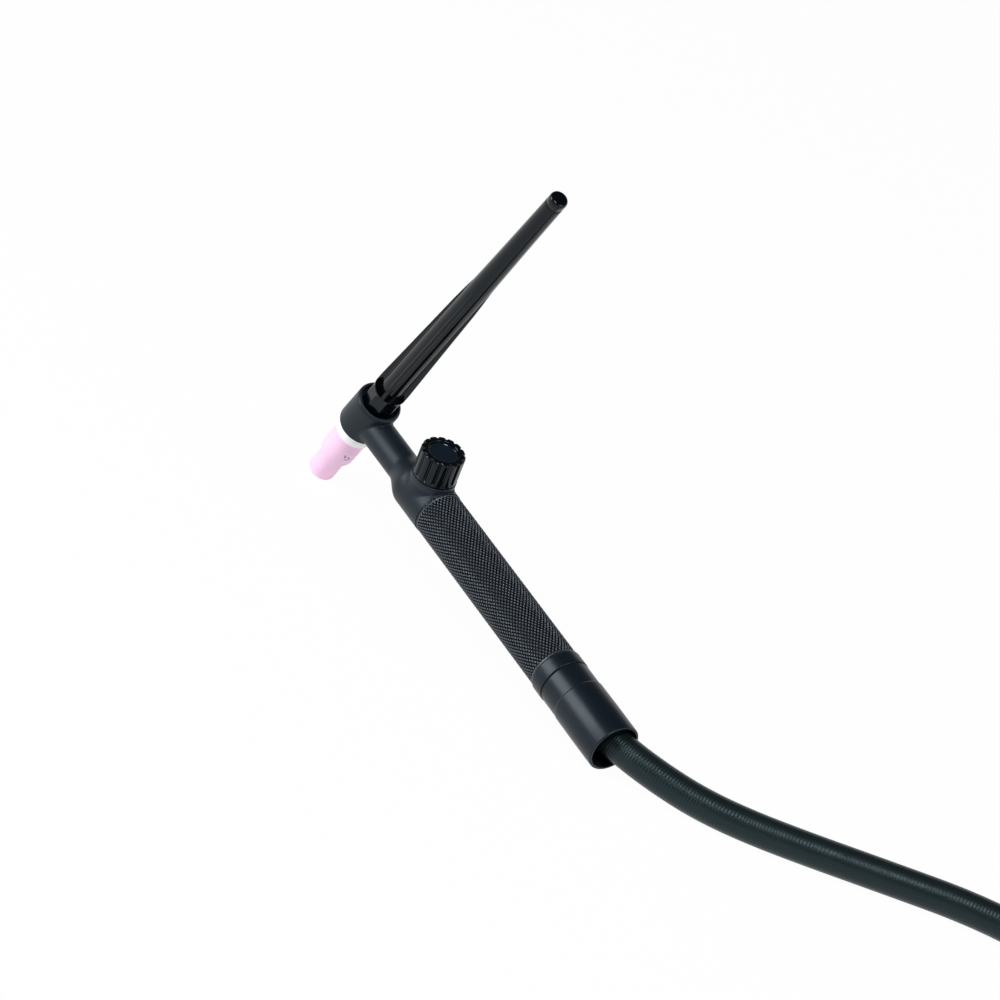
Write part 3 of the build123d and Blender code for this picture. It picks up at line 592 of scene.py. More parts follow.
# %% Cable rubber
RIB_PITCH = 0.00115
RULER_STEP = 9
CABLE_RUBBER, tree, shader = start_material("cable rubber")
grain_node = place_group(tree, grain_group, Fine_Scale=5200.0, Roughness=0.39, Roughness_Spread=0.10)
marks = place_group(tree, scuff_group, Amount=0.5)
toned = mix_colour(
    tree, grain_node.outputs["Shade"], (0.0030, 0.0072, 0.0084), (0.0052, 0.0100, 0.0114)
)
scuffed = mix_colour(tree, marks.outputs["Mask"], toned, (0.028, 0.035, 0.037))
tree.links.new(scuffed, shader.inputs["Base Color"])
along = add_node(tree, "ShaderNodeSeparateXYZ")
tree.links.new(add_node(tree, "ShaderNodeTexCoord").outputs["UV"], along.inputs["Vector"])
evened = add_node(tree, "ShaderNodeFloatCurve")
tree.links.new(along.outputs["X"], evened.inputs["Value"])
ruler = evened.mapping.curves[0]
run = np.cumsum([0.0] + [(b - a).length for a, b in zip(line, line[1:])]) / CABLE_LENGTH
ruler.points[1].location = (1.0, 1.0)
for index in range(RULER_STEP, len(run) - RULER_STEP, RULER_STEP):
    ruler.points.new(index / (len(run) - 1), float(run[index]))
for point in ruler.points:
    point.handle_type = "VECTOR"
evened.mapping.update()
turns = math_node(tree, "MULTIPLY", evened.outputs["Value"], CABLE_LENGTH / RIB_PITCH * 2 * math.pi)
rib = math_node(tree, "SINE", turns)
rib_height = math_node(tree, "MULTIPLY_ADD", rib, 0.5, 0.5)
uneven = math_node(tree, "MULTIPLY", rib_height, noise(tree, 300.0, 2.0))
raise_bump(tree, shader, uneven, 0.00012)
tree.links.new(grain_node.outputs["Roughness"], shader.inputs["Roughness"])
shader.inputs["Specular IOR Level"].default_value = 0.38
shader.inputs["Specular Tint"].default_value = (0.62, 0.86, 0.94, 1.0)
cable.data.materials.append(CABLE_RUBBER)
print("ribs on the cable", round(CABLE_LENGTH / RIB_PITCH), "ruler points", len(ruler.points))

# %% [markdown]
# ## The head, neck and valve housing
#
# On the real torch this is one overmoulded piece, so its parts flow into each other. Boolean
# joins would leave hard creases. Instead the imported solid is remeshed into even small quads,
# and every point is then drawn onto a distance field: a formula that is zero on the wanted
# surface. Blending two distances with a smooth minimum gives the soft fillets of a mould.
# Each bore is written as its axis, its radius and where it starts and ends, in millimetres.

# %% Distances to simple shapes
def on_lathe(points, place):
    """Radius and height of points in metres on a lathe, and their local places, in millimetres."""
    matrix = np.array(place.inverted())
    local = (points @ matrix[:3, :3].T + matrix[:3, 3]) / MM
    return np.hypot(local[:, 0], local[:, 1]), local[:, 2], local


def barrel(r, z, radius, low, high, edge):
    """Distance to a cylinder with rounded rims."""
    sideways = r - (radius - edge)
    endways = np.abs(z - (low + high) / 2) - ((high - low) / 2 - edge)
    outside = np.hypot(np.maximum(sideways, 0), np.maximum(endways, 0))
    return outside + np.minimum(np.maximum(sideways, endways), 0) - edge


def joined(first, second, blend):
    """A union of two shapes with a fillet."""
    share = np.clip(0.5 + 0.5 * (second - first) / blend, 0, 1)
    return second * (1 - share) + first * share - blend * share * (1 - share)


def carved(solid, hollow, blend):
    """A shape with another cut out of it and the edge broken."""
    return -joined(-solid, hollow, blend)


HEAD_RADIUS, NECK_RADIUS, HANDLE_RADIUS, BOSS_RADIUS = 8.4, 6.0, 9.2, 8.2
SHIELD_SEAT, HEAD_TOP, BOSS_TOP, GRIP_START = -4.6, 11.5, 8.3, 51.6
SWELL_FROM, SWELL_RUN = 26.8, 10.0
NECK_FILLET, BOSS_FILLET, BROKEN_EDGE = 0.7, 1.1, 0.25
BORES = (
    ("head", 5.5, -3.4, 10.0),
    ("head", 4.95, -6.0, -3.0),
    ("neck", 3.5, 0.0, 32.0),
    ("neck", 5.5, 31.0, 57.0),
    ("neck", 4.0, 56.0, 64.0),
    ("boss", 4.0, 0.0, 10.0),
)


def body_distance(points):
    """Distance to the torch body's surface, in millimetres."""
    head_r, head_z, _ = on_lathe(points, HEAD)
    neck_r, neck_z, _ = on_lathe(points, HANDLE)
    boss_r, boss_z, _ = on_lathe(points, VALVE)
    head = barrel(head_r, head_z, HEAD_RADIUS, -14.0, HEAD_TOP, 1.35)
    share = np.clip((neck_z - SWELL_FROM) / SWELL_RUN, 0, 1)
    rise = share * share * (3 - 2 * share)
    outline = NECK_RADIUS + (HANDLE_RADIUS - NECK_RADIUS) * rise
    slope = (HANDLE_RADIUS - NECK_RADIUS) * 6 * share * (1 - share) / SWELL_RUN
    neck = (neck_r - outline) / np.sqrt(1 + slope * slope)
    neck = np.maximum(np.maximum(neck, -neck_z), neck_z - GRIP_START)
    tail = barrel(neck_r, neck_z, 7.0, 40.0, 62.0, 0.3)
    boss = barrel(boss_r, boss_z, BOSS_RADIUS, 0.0, BOSS_TOP, 0.35)
    below_head = barrel(head_r, head_z, 9.0, -16.0, SHIELD_SEAT, 0.1)
    above_boss = barrel(boss_r, boss_z, 8.5, BOSS_TOP, 22.0, 0.2)
    cap_seat = barrel(head_r, head_z, 7.1, CAP_FOOT - 0.1, 14.0, 0.2)
    shape = joined(head, neck, NECK_FILLET)
    shape = carved(shape, below_head, BROKEN_EDGE)
    shape = joined(shape, boss, BOSS_FILLET)
    shape = carved(shape, above_boss, BROKEN_EDGE)
    shape = joined(shape, tail, 0.2)
    shape = carved(shape, cap_seat, 0.4)
    places_on = {"head": (head_r, head_z), "neck": (neck_r, neck_z), "boss": (boss_r, boss_z)}
    for axis, radius, low, high in BORES:
        shape = carved(shape, barrel(*places_on[axis], radius, low, high, 0.05), 0.1)
    return shape


# %% Remesh the body into even quads
torch_body = new_piece("torch_moulding", nodes["torch_body"].data.copy())
remesh = torch_body.modifiers.new("even quads", "REMESH")
remesh.mode = "VOXEL"
remesh.voxel_size = 0.00036
graph = bpy.context.evaluated_depsgraph_get()
even_mesh = bpy.data.meshes.new_from_object(torch_body.evaluated_get(graph))
torch_body.modifiers.clear()
torch_body.data = even_mesh
count = len(even_mesh.vertices)
print("even quads", len(even_mesh.polygons))

# %% Draw every point onto the surface
places = np.empty(count * 3)
even_mesh.vertices.foreach_get("co", places)
places = places.reshape(-1, 3)
PROBE, ROUNDS = 0.00002, 6
for _ in range(ROUNDS):
    here = body_distance(places)
    slope = np.stack([
        (body_distance(places + probe) - body_distance(places - probe)) / (2 * PROBE / MM)
        for probe in PROBE * np.eye(3)
    ], 1)
    size = np.maximum((slope ** 2).sum(1), 0.15)
    places -= np.clip(here / size, -0.4, 0.4)[:, None] * slope * MM
even_mesh.vertices.foreach_set("co", places.ravel())
even_mesh.update()
even_mesh.materials.clear()
even_mesh.materials.append(BODY_RUBBER)
even_mesh.shade_smooth()
even_mesh.set_sharp_from_angle(angle=math.radians(40))
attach(torch_body, "torch")
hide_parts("torch_body")
miss = float(np.abs(body_distance(places)).mean())
print("torch body points", count, "off the surface by", round(miss, 4), "mm")

# %% [markdown]
# ## The knurled grip
#
# The knurl is two families of V grooves that run round the handle in opposite hands, so the
# skin between them is small diamonds. They are real geometry here. The rings and columns are
# spaced so that both families fall exactly on the mesh's diagonals, eight steps to a groove.
# Each face takes one of two finishes by its radius: the lands are painted lighter as a painted
# sheen, the hollows near black as painted shade, and the plain band behind the knurl takes the
# sleeve's finish. FLANK is the share of a groove's half that slopes. The rest is the flat land.

# %% The knurl's measures
DIAMONDS_AROUND = 42
STEPS = 8
DIAMOND_LENGTH = 1.949
LAND_RADIUS, KNURL_DEPTH = 9.05, 0.46
FLANK, HOLLOW_BELOW = 0.72, 8.83
KNURL_FROM, KNURL_TO, GRIP_STOP = 52.3, 131.6, 137.95


def groove(share):
    """Height of a V groove's flank, from 0 at the bottom to 1 on the land."""
    return np.abs(2 * (share - np.floor(share)) - 1)


print("groove depth in millimetres", KNURL_DEPTH, "diamonds around", DIAMONDS_AROUND)

# %% Stack the grip's rings
around = DIAMONDS_AROUND * STEPS
angles = full_turn(around)
column = np.arange(around)
grip_rings = []


def grip_ring(radius, z):
    """One round ring of the grip."""
    grip_rings.append(ring_at(radius, angles, z))


for radius, z in soften([
    (7.0, GRIP_START, 0.1), (8.95, GRIP_START, 0.25), (8.95, GRIP_START + 0.2, 0.0),
]):
    grip_ring(radius, z)
for radius, z in ((8.62, 51.95), (8.60, 52.15), (8.75, KNURL_FROM)):
    grip_ring(radius, z)
rows = int((KNURL_TO - KNURL_FROM) / (DIAMOND_LENGTH / STEPS))
for row in range(rows + 1):
    z = KNURL_FROM + row * DIAMOND_LENGTH / STEPS
    right = groove((row + column) / STEPS)
    left = groove((row - column) / STEPS)
    land = np.minimum(np.minimum(right, left), FLANK) / FLANK
    fade = min(1.0, row / 3, (rows - row) / 3)
    grip_ring(LAND_RADIUS - KNURL_DEPTH * (1 - land) * fade, z)
for radius, z in soften([
    (9.0, 131.7, 0.0), (9.05, 132.0, 0.1), (9.5, 132.5, 0.35), (9.5, 137.7, 0.2),
    (9.3, GRIP_STOP, 0.1), (7.02, GRIP_STOP, 0.1), (7.02, 120.0, 0.0),
])[:-1]:
    grip_ring(radius, z)
grip = skin("knurled_grip", grip_rings, HANDLE, "torch")
print("grip rings", len(grip_rings), "faces", len(grip.data.polygons))

# %% Give the grip its finishes
# Lands take the painted sheen, hollows the painted shade, and the band behind the knurl the sleeve's finish.
for finish in (GRIP_LANDS_PAINTED_SHEEN, GRIP_HOLLOWS_PAINTED_SHADE, SLEEVE_PLASTIC):
    grip.data.materials.append(finish)
centres = np.empty(len(grip.data.polygons) * 3)
grip.data.polygons.foreach_get("center", centres)
face_radius, face_z, _ = on_lathe(centres.reshape(-1, 3), HANDLE)
which = np.where(face_z > KNURL_TO, 2, face_radius < HOLLOW_BELOW)
grip.data.polygons.foreach_set("material_index", which.astype(np.int32))
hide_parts("grip_sleeve")
print("faces on lands, hollows and band", np.bincount(which))

# %% [markdown]
# ## The open rear sleeve
#
# A short band, a small step and then the wide boot whose mouth stays open round the cable.
# It is a plain turned shape. What makes it look moulded is the soft rim, the thin parting
# line in front of it and the slight swell of the boot.

# %% Turn the sleeve
rear_sleeve = turned(
    "open_sleeve",
    [
        (6.05, 127.0, 0.1), (6.98, 127.0, 0.2), (6.98, 138.02, 0.0), (9.1, 138.02, 0.25),
        (9.3, 138.4, 0.2), (9.3, 147.0, 0.3), (9.52, 147.5, 0.35), (9.6, 158.0, 3.0),
        (9.55, 170.2, 0.5), (8.5, 170.2, 0.4), (8.35, 168.8, 0.6), (8.35, 147.4, 0.6),
        (6.05, 146.0, 0.6),
    ],
    HANDLE, "torch", around=160,
)
rear_sleeve.data.materials.append(SLEEVE_PLASTIC)
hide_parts("rear_sleeve")

# %% [markdown]
# ## The long back cap
#
# The cap holds the spare length of the electrode. Its foot has eight flats for the fingers,
# and above a small step four thin ribs run up a round core until the taper swallows them.
# Every ring has the same number of points, laid out for half a rib and then mirrored: the
# rib's crown, its rounded edge, a fillet at its foot and the round core up to the next rib.

# %% The cap's measures
CAP_TOP, TIP_ROUND = 147.0, 1.1
RIBS, FLATS = 4, 8
RIB_TURN, FLAT_TURN = 31.0, 31.0
RIB_HALF_WIDTH, RIBS_END = 0.66, 91.5
FOOT_RADIUS, FLAT_RADIUS, FLATS_END = 6.28, 5.83, 19.2
STEP_HEIGHT = 20.1
taper_heights = [CAP_FOOT, 24.0, 49.0, 63.0, 77.0, 84.0, RIBS_END, 98.0, 119.0, 140.0, CAP_TOP]
taper_radii = [6.3, 6.27, 5.50, 5.08, 4.68, 4.36, 3.92, 3.80, 3.53, 3.33, 3.25]
core_heights = [19.0, 50.0, 80.0, RIBS_END]
core_radii = [4.36, 4.24, 4.02, 3.92]
print("cap length in millimetres", CAP_TOP - CAP_FOOT)


# %% One rib's outline, turned and mirrored
def half_rib(outer, core):
    """Points (outward, sideways) from a rib's middle to halfway round the core."""
    rise = outer - core
    edge, fillet = min(0.2, rise * 0.4), min(0.45, rise * 0.45)
    flat_to = RIB_HALF_WIDTH - edge
    points = [(math.sqrt(outer ** 2 - u * u), u) for u in (0.0, 0.5 * flat_to, flat_to)]
    crest = points[-1][0] - edge
    for turn in (18, 36, 54, 72, 90):
        bend = math.radians(turn)
        points.append((crest + edge * math.cos(bend), flat_to + edge * math.sin(bend)))
    aside = RIB_HALF_WIDTH + fillet
    up = math.sqrt((core + fillet) ** 2 - aside ** 2)
    meets = math.atan2(aside, up)
    for share in np.linspace(0, 1, 5):
        bend = -math.pi / 2 - share * (math.pi / 2 - meets)
        points.append((up + fillet * math.cos(bend), aside + fillet * math.sin(bend)))
    for angle in np.linspace(meets, math.pi / RIBS, 13)[1:]:
        points.append((core * math.cos(angle), core * math.sin(angle)))
    return points


def ribbed_ring(outer, core):
    """The whole outline, rib after rib, as complex numbers."""
    half = np.array([complex(x, y) for x, y in half_rib(outer, core)])
    one = np.concatenate([np.conj(half[:0:-1]), half[:-1]])
    turns = np.exp(1j * (math.radians(RIB_TURN) + 2 * np.pi * np.arange(RIBS) / RIBS))
    return (turns[:, None] * one[None, :]).ravel()


cap_angles = np.angle(ribbed_ring(taper_radii[1], core_radii[0]))
print("points in one ring", len(cap_angles))


# %% Stack the cap's rings
def foot_radius(z):
    """The foot's radius all round: flats below, plain round just under the step."""
    pitch = 2 * np.pi / FLATS
    offset = (cap_angles - math.radians(FLAT_TURN) + pitch / 2) % pitch - pitch / 2
    flat = np.minimum(FLAT_RADIUS / np.cos(offset), FOOT_RADIUS)
    return flat + (FOOT_RADIUS - flat) * min(max((z - FLATS_END) / 0.25, 0), 1)


cap_rings = []


def cap_ring(radius, z):
    """One ring of the cap from a radius, or from an outline of complex numbers."""
    outline = radius if np.iscomplexobj(radius) else radius * np.exp(1j * cap_angles)
    cap_rings.append(np.stack([outline.real, outline.imag, np.full(len(outline), z)], 1))


for radius, z in ((3.32, 9.75), (3.32, 10.57), (5.2, 10.57), (5.2, CAP_FOOT)):
    cap_ring(radius, z)
cap_ring(foot_radius(CAP_FOOT) - 0.12, CAP_FOOT)
for z in [*np.arange(9.8, FLATS_END, 0.94), FLATS_END, 19.45, 19.7, 19.95]:
    cap_ring(foot_radius(z), z)
cap_ring(foot_radius(20.0) - 0.06, STEP_HEIGHT)
for z in [STEP_HEIGHT + 0.02, *np.arange(20.6, 94.0, 1.05), *np.arange(94.0, 143.0, 1.6)]:
    outer = np.interp(z, taper_heights, taper_radii)
    core = min(np.interp(z, core_heights, core_radii), outer - 0.0005)
    cap_ring(ribbed_ring(outer, core) if z < RIBS_END else outer, z)
tip_line = CAP_TOP - 3.4
for above, sink in ((-0.35, 0), (-0.15, 0.10), (0.15, 0.10), (0.35, 0)):
    z = tip_line + above
    cap_ring(np.interp(z, taper_heights, taper_radii) - sink, z)
for turn in np.linspace(0, np.pi / 2, 8):
    inward = TIP_ROUND * (1 - math.cos(turn))
    cap_ring(taper_radii[-1] - inward, CAP_TOP - TIP_ROUND * (1 - math.sin(turn)))
for radius, z in ((0.0, CAP_TOP), (0.0, 143.0), (1.8, 142.9), (1.8, 20.0), (3.32, 20.0)):
    cap_ring(radius, z)
back_cap = skin("long_back_cap", cap_rings, HEAD, "cap")
back_cap.data.materials.append(CAP_GLOSS)
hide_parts("back_cap")
print("cap faces", len(back_cap.data.polygons))

# %% [markdown]
# ## The valve knob
#
# Fourteen shallow grooves give the fingers hold. Between them the lands are slightly crowned,
# so each catches its own narrow highlight. A recess in the top takes a thin glossy disc that
# hides the screw. The knob turns over a low collar on the body's boss, which keeps grit out.
# Stacked rings let the grooves fade in at the skirt and follow the rounded rim.

# %% The knob's grooves
GROOVES, GROOVE_HALF_WIDTH, GROOVE_DEPTH = 14, 0.95, 0.7
KNOB_RADIUS, RIM_FROM, RIM_ROUND = 8.05, 20.65, 0.75
knob_angles = full_turn(GROOVES * 30)


def knob_radius(depth):
    """The knob's radius all round for one depth of groove."""
    pitch = 2 * np.pi / GROOVES
    offset = (knob_angles + pitch / 2) % pitch - pitch / 2
    share = np.clip(1 - np.abs(offset) * KNOB_RADIUS / GROOVE_HALF_WIDTH, 0, 1)
    dip = share * share * (3 - 2 * share)
    crown = 0.10 * (np.abs(offset) / (pitch / 2) - 1) ** 2
    return KNOB_RADIUS - depth * dip - crown * depth


print("points in one ring", len(knob_angles))

# %% Stack the knob's rings
knob_rings = []


def knob_ring(radius, z):
    """One ring of the knob, plain or grooved."""
    knob_rings.append(ring_at(radius, knob_angles, z))


for radius, z in soften([
    (1.5, 8.75, 0.0), (6.9, 8.75, 0.1), (6.9, 10.6, 0.1), (8.0, 10.6, 0.25), (8.0, 11.15, 0.1),
    (7.9, 11.25, 0.05),
])[1:]:
    knob_ring(radius, z)
for z, depth in ((11.35, 0.15), (11.55, 0.45), (11.85, 0.66), (12.3, GROOVE_DEPTH)):
    knob_ring(knob_radius(depth), z)
for z in np.linspace(13.0, 20.4, 8):
    knob_ring(knob_radius(GROOVE_DEPTH), z)
for turn in np.linspace(0, np.pi / 2, 7):
    inward = RIM_ROUND * (1 - math.cos(turn))
    knob_ring(knob_radius(GROOVE_DEPTH) - inward, RIM_FROM + RIM_ROUND * math.sin(turn))
knob_ring(6.6, 21.42)
for radius, z in soften([
    (6.4, 21.42, 0.0), (5.5, 21.4, 0.35), (5.5, 20.1, 0.05), (2.4, 20.1, 0.05), (2.4, 18.5, 0.05),
    (0.9, 18.5, 0.0), (0.9, 17.6, 0.0), (1.5, 17.6, 0.0), (1.5, 8.75, 0.0),
])[1:]:
    knob_ring(radius, z)
knob = skin("fluted_knob", knob_rings, VALVE, "valve")
knob.data.materials.append(KNOB_GLOSS)
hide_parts("valve_knob")
print("knob rings", len(knob_rings), "faces", len(knob.data.polygons))

# %% Turn the disc and the collar
disc = turned(
    "knob_inlay",
    [
        (0.0, 20.12, 0.0), (5.42, 20.12, 0.05), (5.42, 20.62, 0.12), (5.05, 20.62, 0.12),
        (4.85, 20.44, 0.10), (0.0, 20.42, 0.0),
    ],
    VALVE, "valve",
)
disc.data.materials.append(DISC_GLOSS)
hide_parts("knob_disc")

collar = turned(
    "boss_collar",
    [(7.2, 7.9, 0.0), (8.2, 7.9, 0.0), (8.2, 10.35, 0.3), (7.2, 10.35, 0.1)],
    VALVE, "torch",
)
collar.data.materials.append(BODY_RUBBER)

# %% [markdown]
# ## The nozzle and its heat shield
#
# The nozzle is fired ceramic, so nothing on it is sharp: a full barrel, a rounded shoulder
# that dips a little, and a narrower mouth. The white ring above it keeps the heat from the
# head. Both are plain turned shapes, and it is the size of its roundings that tells the
# ceramic from the plastics.

# %% Turn the nozzle and the shield
BARREL_RADIUS = 6.45
nozzle = turned(
    "ceramic_nozzle",
    [
        (4.0, -37.3, 0.45), (5.1, -37.3, 0.8), (4.98, -27.8, 1.0), (5.00, -25.9, 0.2),
        (6.36, -24.3, 1.1), (BARREL_RADIUS, -21.3, 4.0), (BARREL_RADIUS, -7.9, 0.15), (4.35, -7.9, 0.2),
        (4.35, -13.5, 0.1), (5.0, -13.5, 0.2), (5.0, -23.0, 0.6), (4.0, -26.8, 0.8),
    ],
    HEAD, "nozzle", around=160, steps=8,
)
nozzle.data.materials.append(NOZZLE_CERAMIC)
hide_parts("nozzle")

shield = turned(
    "white_shield",
    [
        (4.95, -4.7, 0.1), (7.95, -4.7, 0.25), (7.75, -6.8, 1.5), (7.3, -9.6, 0.4), (6.8, -9.6, 0.1),
        (6.75, -8.8, 0.1), (6.5, -8.4, 0.05), (6.5, -7.8, 0.05), (4.95, -7.8, 0.1),
    ],
    HEAD, "shield", around=160,
)
shield.data.materials.append(SHIELD_WHITE)
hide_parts("heat_shield")

# %% [markdown]
# ### The size number
#
# A nozzle carries its size as a plain printed number. A flat text object wouldn't follow the
# barrel, so the number is short strokes, each bent onto the barrel and a hair's breadth proud
# of it. u runs round the barrel and v along it.

# %% Place the number's strokes
NUMBER_TURN, NUMBER_HEIGHT, NUMBER_SIZE = 254.3, -18.1, 3.0
NUMBER_LEAN, NUMBER_WIDTH = math.radians(26), 0.8
strokes = [
    (0.72, 1.0), (0.16, 1.0), (0.10, 0.56), (0.34, 0.64), (0.58, 0.60), (0.72, 0.44),
    (0.76, 0.28), (0.66, 0.10), (0.44, 0.0), (0.22, 0.03), (0.06, 0.14),
]
INK = moulded(
    "printed ink", (0.020, 0.016, 0.020), (0.050, 0.040, 0.050), (0.20, 0.14, 0.18),
    roughness=0.5, spread=0.1, grain=0.000002, grain_scale=5000.0, specular=0.3,
)


def on_barrel(u, v, lift):
    """A point on the nozzle's barrel: u runs round it and v along it, in sizes of the number."""
    spot = Vector(((u - 0.42) * NUMBER_WIDTH, v - 0.5)) * NUMBER_SIZE
    spot.rotate(Matrix.Rotation(NUMBER_LEAN, 2))
    angle = math.radians(NUMBER_TURN) + spot.x / BARREL_RADIUS
    radius = BARREL_RADIUS + lift
    return Vector((radius * math.cos(angle), radius * math.sin(angle), NUMBER_HEIGHT + spot.y))


print("a stroke's start", [round(value, 2) for value in on_barrel(*strokes[0], 0.0)])

# %% Build the strokes
HALF_STROKE = 0.07
number_mesh = bpy.data.meshes.new("size_number")
shape = bmesh.new()
for (u0, v0), (u1, v1) in zip(strokes, strokes[1:]):
    run = Vector((u1 - u0, v1 - v0)).normalized()
    side = Vector((-run.y, run.x)) * HALF_STROKE
    u0, v0 = u0 - run.x * HALF_STROKE, v0 - run.y * HALF_STROKE
    u1, v1 = u1 + run.x * HALF_STROKE, v1 + run.y * HALF_STROKE
    corners = [
        (u0 + side.x, v0 + side.y), (u0 - side.x, v0 - side.y),
        (u1 - side.x, v1 - side.y), (u1 + side.x, v1 + side.y),
    ]
    low = [shape.verts.new(on_barrel(u, v, -0.03) * MM) for u, v in corners]
    top = [shape.verts.new(on_barrel(u, v, 0.012) * MM) for u, v in corners]
    shape.faces.new(top)
    shape.faces.new(low[::-1])
    for index in range(4):
        shape.faces.new((low[index], low[(index + 1) % 4], top[(index + 1) % 4], top[index]))
shape.to_mesh(number_mesh)
shape.free()
number_mesh.transform(HEAD)
number = new_piece("size_number", number_mesh)
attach(number, "nozzle")
number.data.materials.append(INK)
print("number strokes", len(strokes) - 1)

# %% [markdown]
# ## The cable's far end
#
# A tapered rubber relief, a ferrule crimped to six sides, and a brass union nut that turns on
# its nipple. The nut is a hexagon whose corners are chamfered by a cone, so its radius at each
# point is the smaller of the hexagon's and the cone's. The crimped ferrule is made the same way.

# %% Turn the strain relief
RELIEF_START, RELIEF_RIBS, RELIEF_PITCH, RELIEF_TAPER = -20.0, 6, 2.9, 0.072
relief_profile = [(5.62, RELIEF_START, 0.1), (6.6, RELIEF_START, 0.5)]
for rib in range(RELIEF_RIBS):
    z = RELIEF_START + 1.6 + rib * RELIEF_PITCH
    swell = 6.75 + (z - RELIEF_START) * RELIEF_TAPER
    relief_profile += [
        (swell, z, 0.3), (swell, z + 1.7, 0.3), (swell - 0.55, z + 2.0, 0.2), (swell - 0.5, z + 2.6, 0.2),
    ]
relief_profile += [(8.15, -0.6, 0.3), (8.15, 0.0, 0.4), (5.62, 0.0, 0.1)]
relief = turned("strain_relief_boot", relief_profile, CABLE_END, "torch", around=96, steps=3)
relief.data.materials.append(RELIEF_RUBBER)
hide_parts("strain_relief")


# %% Press the ferrule
def sided(radius, sides, angles):
    """Radius of a polygon all round, from the radius at the middle of its flats."""
    pitch = 2 * np.pi / sides
    offset = (angles + pitch / 2) % pitch - pitch / 2
    return radius / np.cos(offset)


hex_angles = full_turn(144)


def hex_rings(rows):
    """Rings from rows of (flat radius, sides, limit, height). With no sides a ring is round."""
    rings = []
    for flat, sides, limit, z in rows:
        spread = np.minimum(sided(flat, sides, hex_angles), limit) if sides else limit
        rings.append(ring_at(spread, hex_angles, z))
    return rings


ferrule = skin(
    "crimped_ferrule",
    hex_rings([
        (0, 0, 2.2, 0.0), (0, 0, 7.1, 0.0), (0, 0, 7.4, 0.4), (0, 0, 7.4, 1.5), (6.6, 6, 7.3, 2.1),
        (6.5, 6, 7.3, 3.0), (6.5, 6, 7.3, 7.0), (6.6, 6, 7.3, 7.9), (0, 0, 7.4, 8.5), (0, 0, 7.4, 9.6),
        (0, 0, 7.1, 10.0), (0, 0, 2.2, 10.0),
    ]),
    CABLE_END, "torch",
)
ferrule.data.materials.append(FERRULE_METAL)
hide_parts("end_ferrule")
print("ferrule faces", len(ferrule.data.polygons))

# %% Cut the union nut
NUT_FLAT, NUT_CORNER, THREAD_PITCH = 9.5, 10.97, 0.8
nut_rows = [(0, 0, 4.05, 23.0), (0, 0, 4.05, 13.2), (0, 0, 4.3, 13.0), (0, 0, 8.6, 13.0)]
nut_rows += [(NUT_FLAT, 6, 9.2 + 0.9 * step, 13.2 + 0.45 * step) for step in range(3)]
nut_rows += [(NUT_FLAT, 6, NUT_CORNER, 15.2), (NUT_FLAT, 6, NUT_CORNER, 34.6)]
nut_rows += [(NUT_FLAT, 6, 11.0 - 0.6 * step, 35.0 + 0.5 * step) for step in range(4)]
nut_rows += [(0, 0, 8.9, 37.0), (0, 0, 7.8, 37.0), (0, 0, 7.15, 36.4)]
for turn in range(8):
    z = 35.9 - turn * THREAD_PITCH
    nut_rows += [(0, 0, 7.15, z), (0, 0, 7.45, z - THREAD_PITCH / 2)]
nut_rows += [(0, 0, 7.5, 29.2), (0, 0, 7.5, 23.0)]
nut = skin("union_nut_hex", hex_rings(nut_rows), CABLE_END, "cable_nut")
nut.data.materials.append(BRASS)
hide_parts("union_nut")
print("nut faces", len(nut.data.polygons))

# %% [markdown]
# ## The hank's straps
#
# Two woven hook-and-loop straps hold the turns together. Each is a flat band, closed round the
# bundle with rounded corners. The band's section has thinned edges, which catch the light as
# a woven selvedge does. Two Wave textures that cross give the weave.

# %% Weave the strap material
STRAP_WEAVE, tree, shader = start_material("strap weave")
weave_place = add_node(tree, "ShaderNodeTexCoord")
warp = add_node(tree, "ShaderNodeTexWave", wave_type="BANDS", bands_direction="X")
weft = add_node(tree, "ShaderNodeTexWave", wave_type="BANDS", bands_direction="DIAGONAL")
for wave, scale in ((warp, 340.0), (weft, 260.0)):
    tree.links.new(weave_place.outputs["Object"], wave.inputs["Vector"])
    wave.inputs["Scale"].default_value = scale
    wave.inputs["Distortion"].default_value = 0.6
woven = math_node(tree, "MULTIPLY", warp.outputs["Fac"], weft.outputs["Fac"])
thread = mix_colour(tree, woven, (0.008, 0.008, 0.009), (0.035, 0.036, 0.040))
tree.links.new(thread, shader.inputs["Base Color"])
raise_bump(tree, shader, woven, 0.00012)
shader.inputs["Roughness"].default_value = 0.85
print("weave nodes", len(tree.nodes))

# %% Close the straps round the hank
STRAP_THICK, STRAP_BEND, BEND_STEPS = 0.0009, 0.006, 8
BAND_SECTION = (
    (-1, 0.2), (-0.97, 0), (0.97, 0), (1, 0.2), (1, 0.8), (0.97, 1), (-0.97, 1), (-1, 0.8),
)


def strap(name, node):
    """A band closed round the bundle inside a CAD strap's box."""
    low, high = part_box(node)
    middle = (low + high) / 2
    half_wide, half_high = (high.y - low.y) / 2, (high.z - low.z) / 2
    outline = []
    for corner, (sy, sz) in enumerate(((1, 1), (-1, 1), (-1, -1), (1, -1))):
        for step in range(BEND_STEPS + 1):
            angle = math.radians(90 * corner + 90 * step / BEND_STEPS)
            y = sy * (half_wide - STRAP_BEND) + STRAP_BEND * math.cos(angle)
            z = sz * (half_high - STRAP_BEND) + STRAP_BEND * math.sin(angle)
            outline.append((y, z, angle))
    rings = []
    for y, z, angle in outline:
        inward = Vector((0, math.cos(angle), math.sin(angle))) * STRAP_THICK
        at = Vector((0, middle.y + y, middle.z + z))
        ring = []
        for x, depth in BAND_SECTION:
            spot = at - inward * depth
            ring.append((middle.x + x * (high.x - low.x) / 2, spot.y, spot.z))
        rings.append(np.array(ring) / MM)
    piece = skin(name, rings, Matrix.Identity(4), "torch")
    piece.data.materials.append(STRAP_WEAVE)
    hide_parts(node)
    return piece


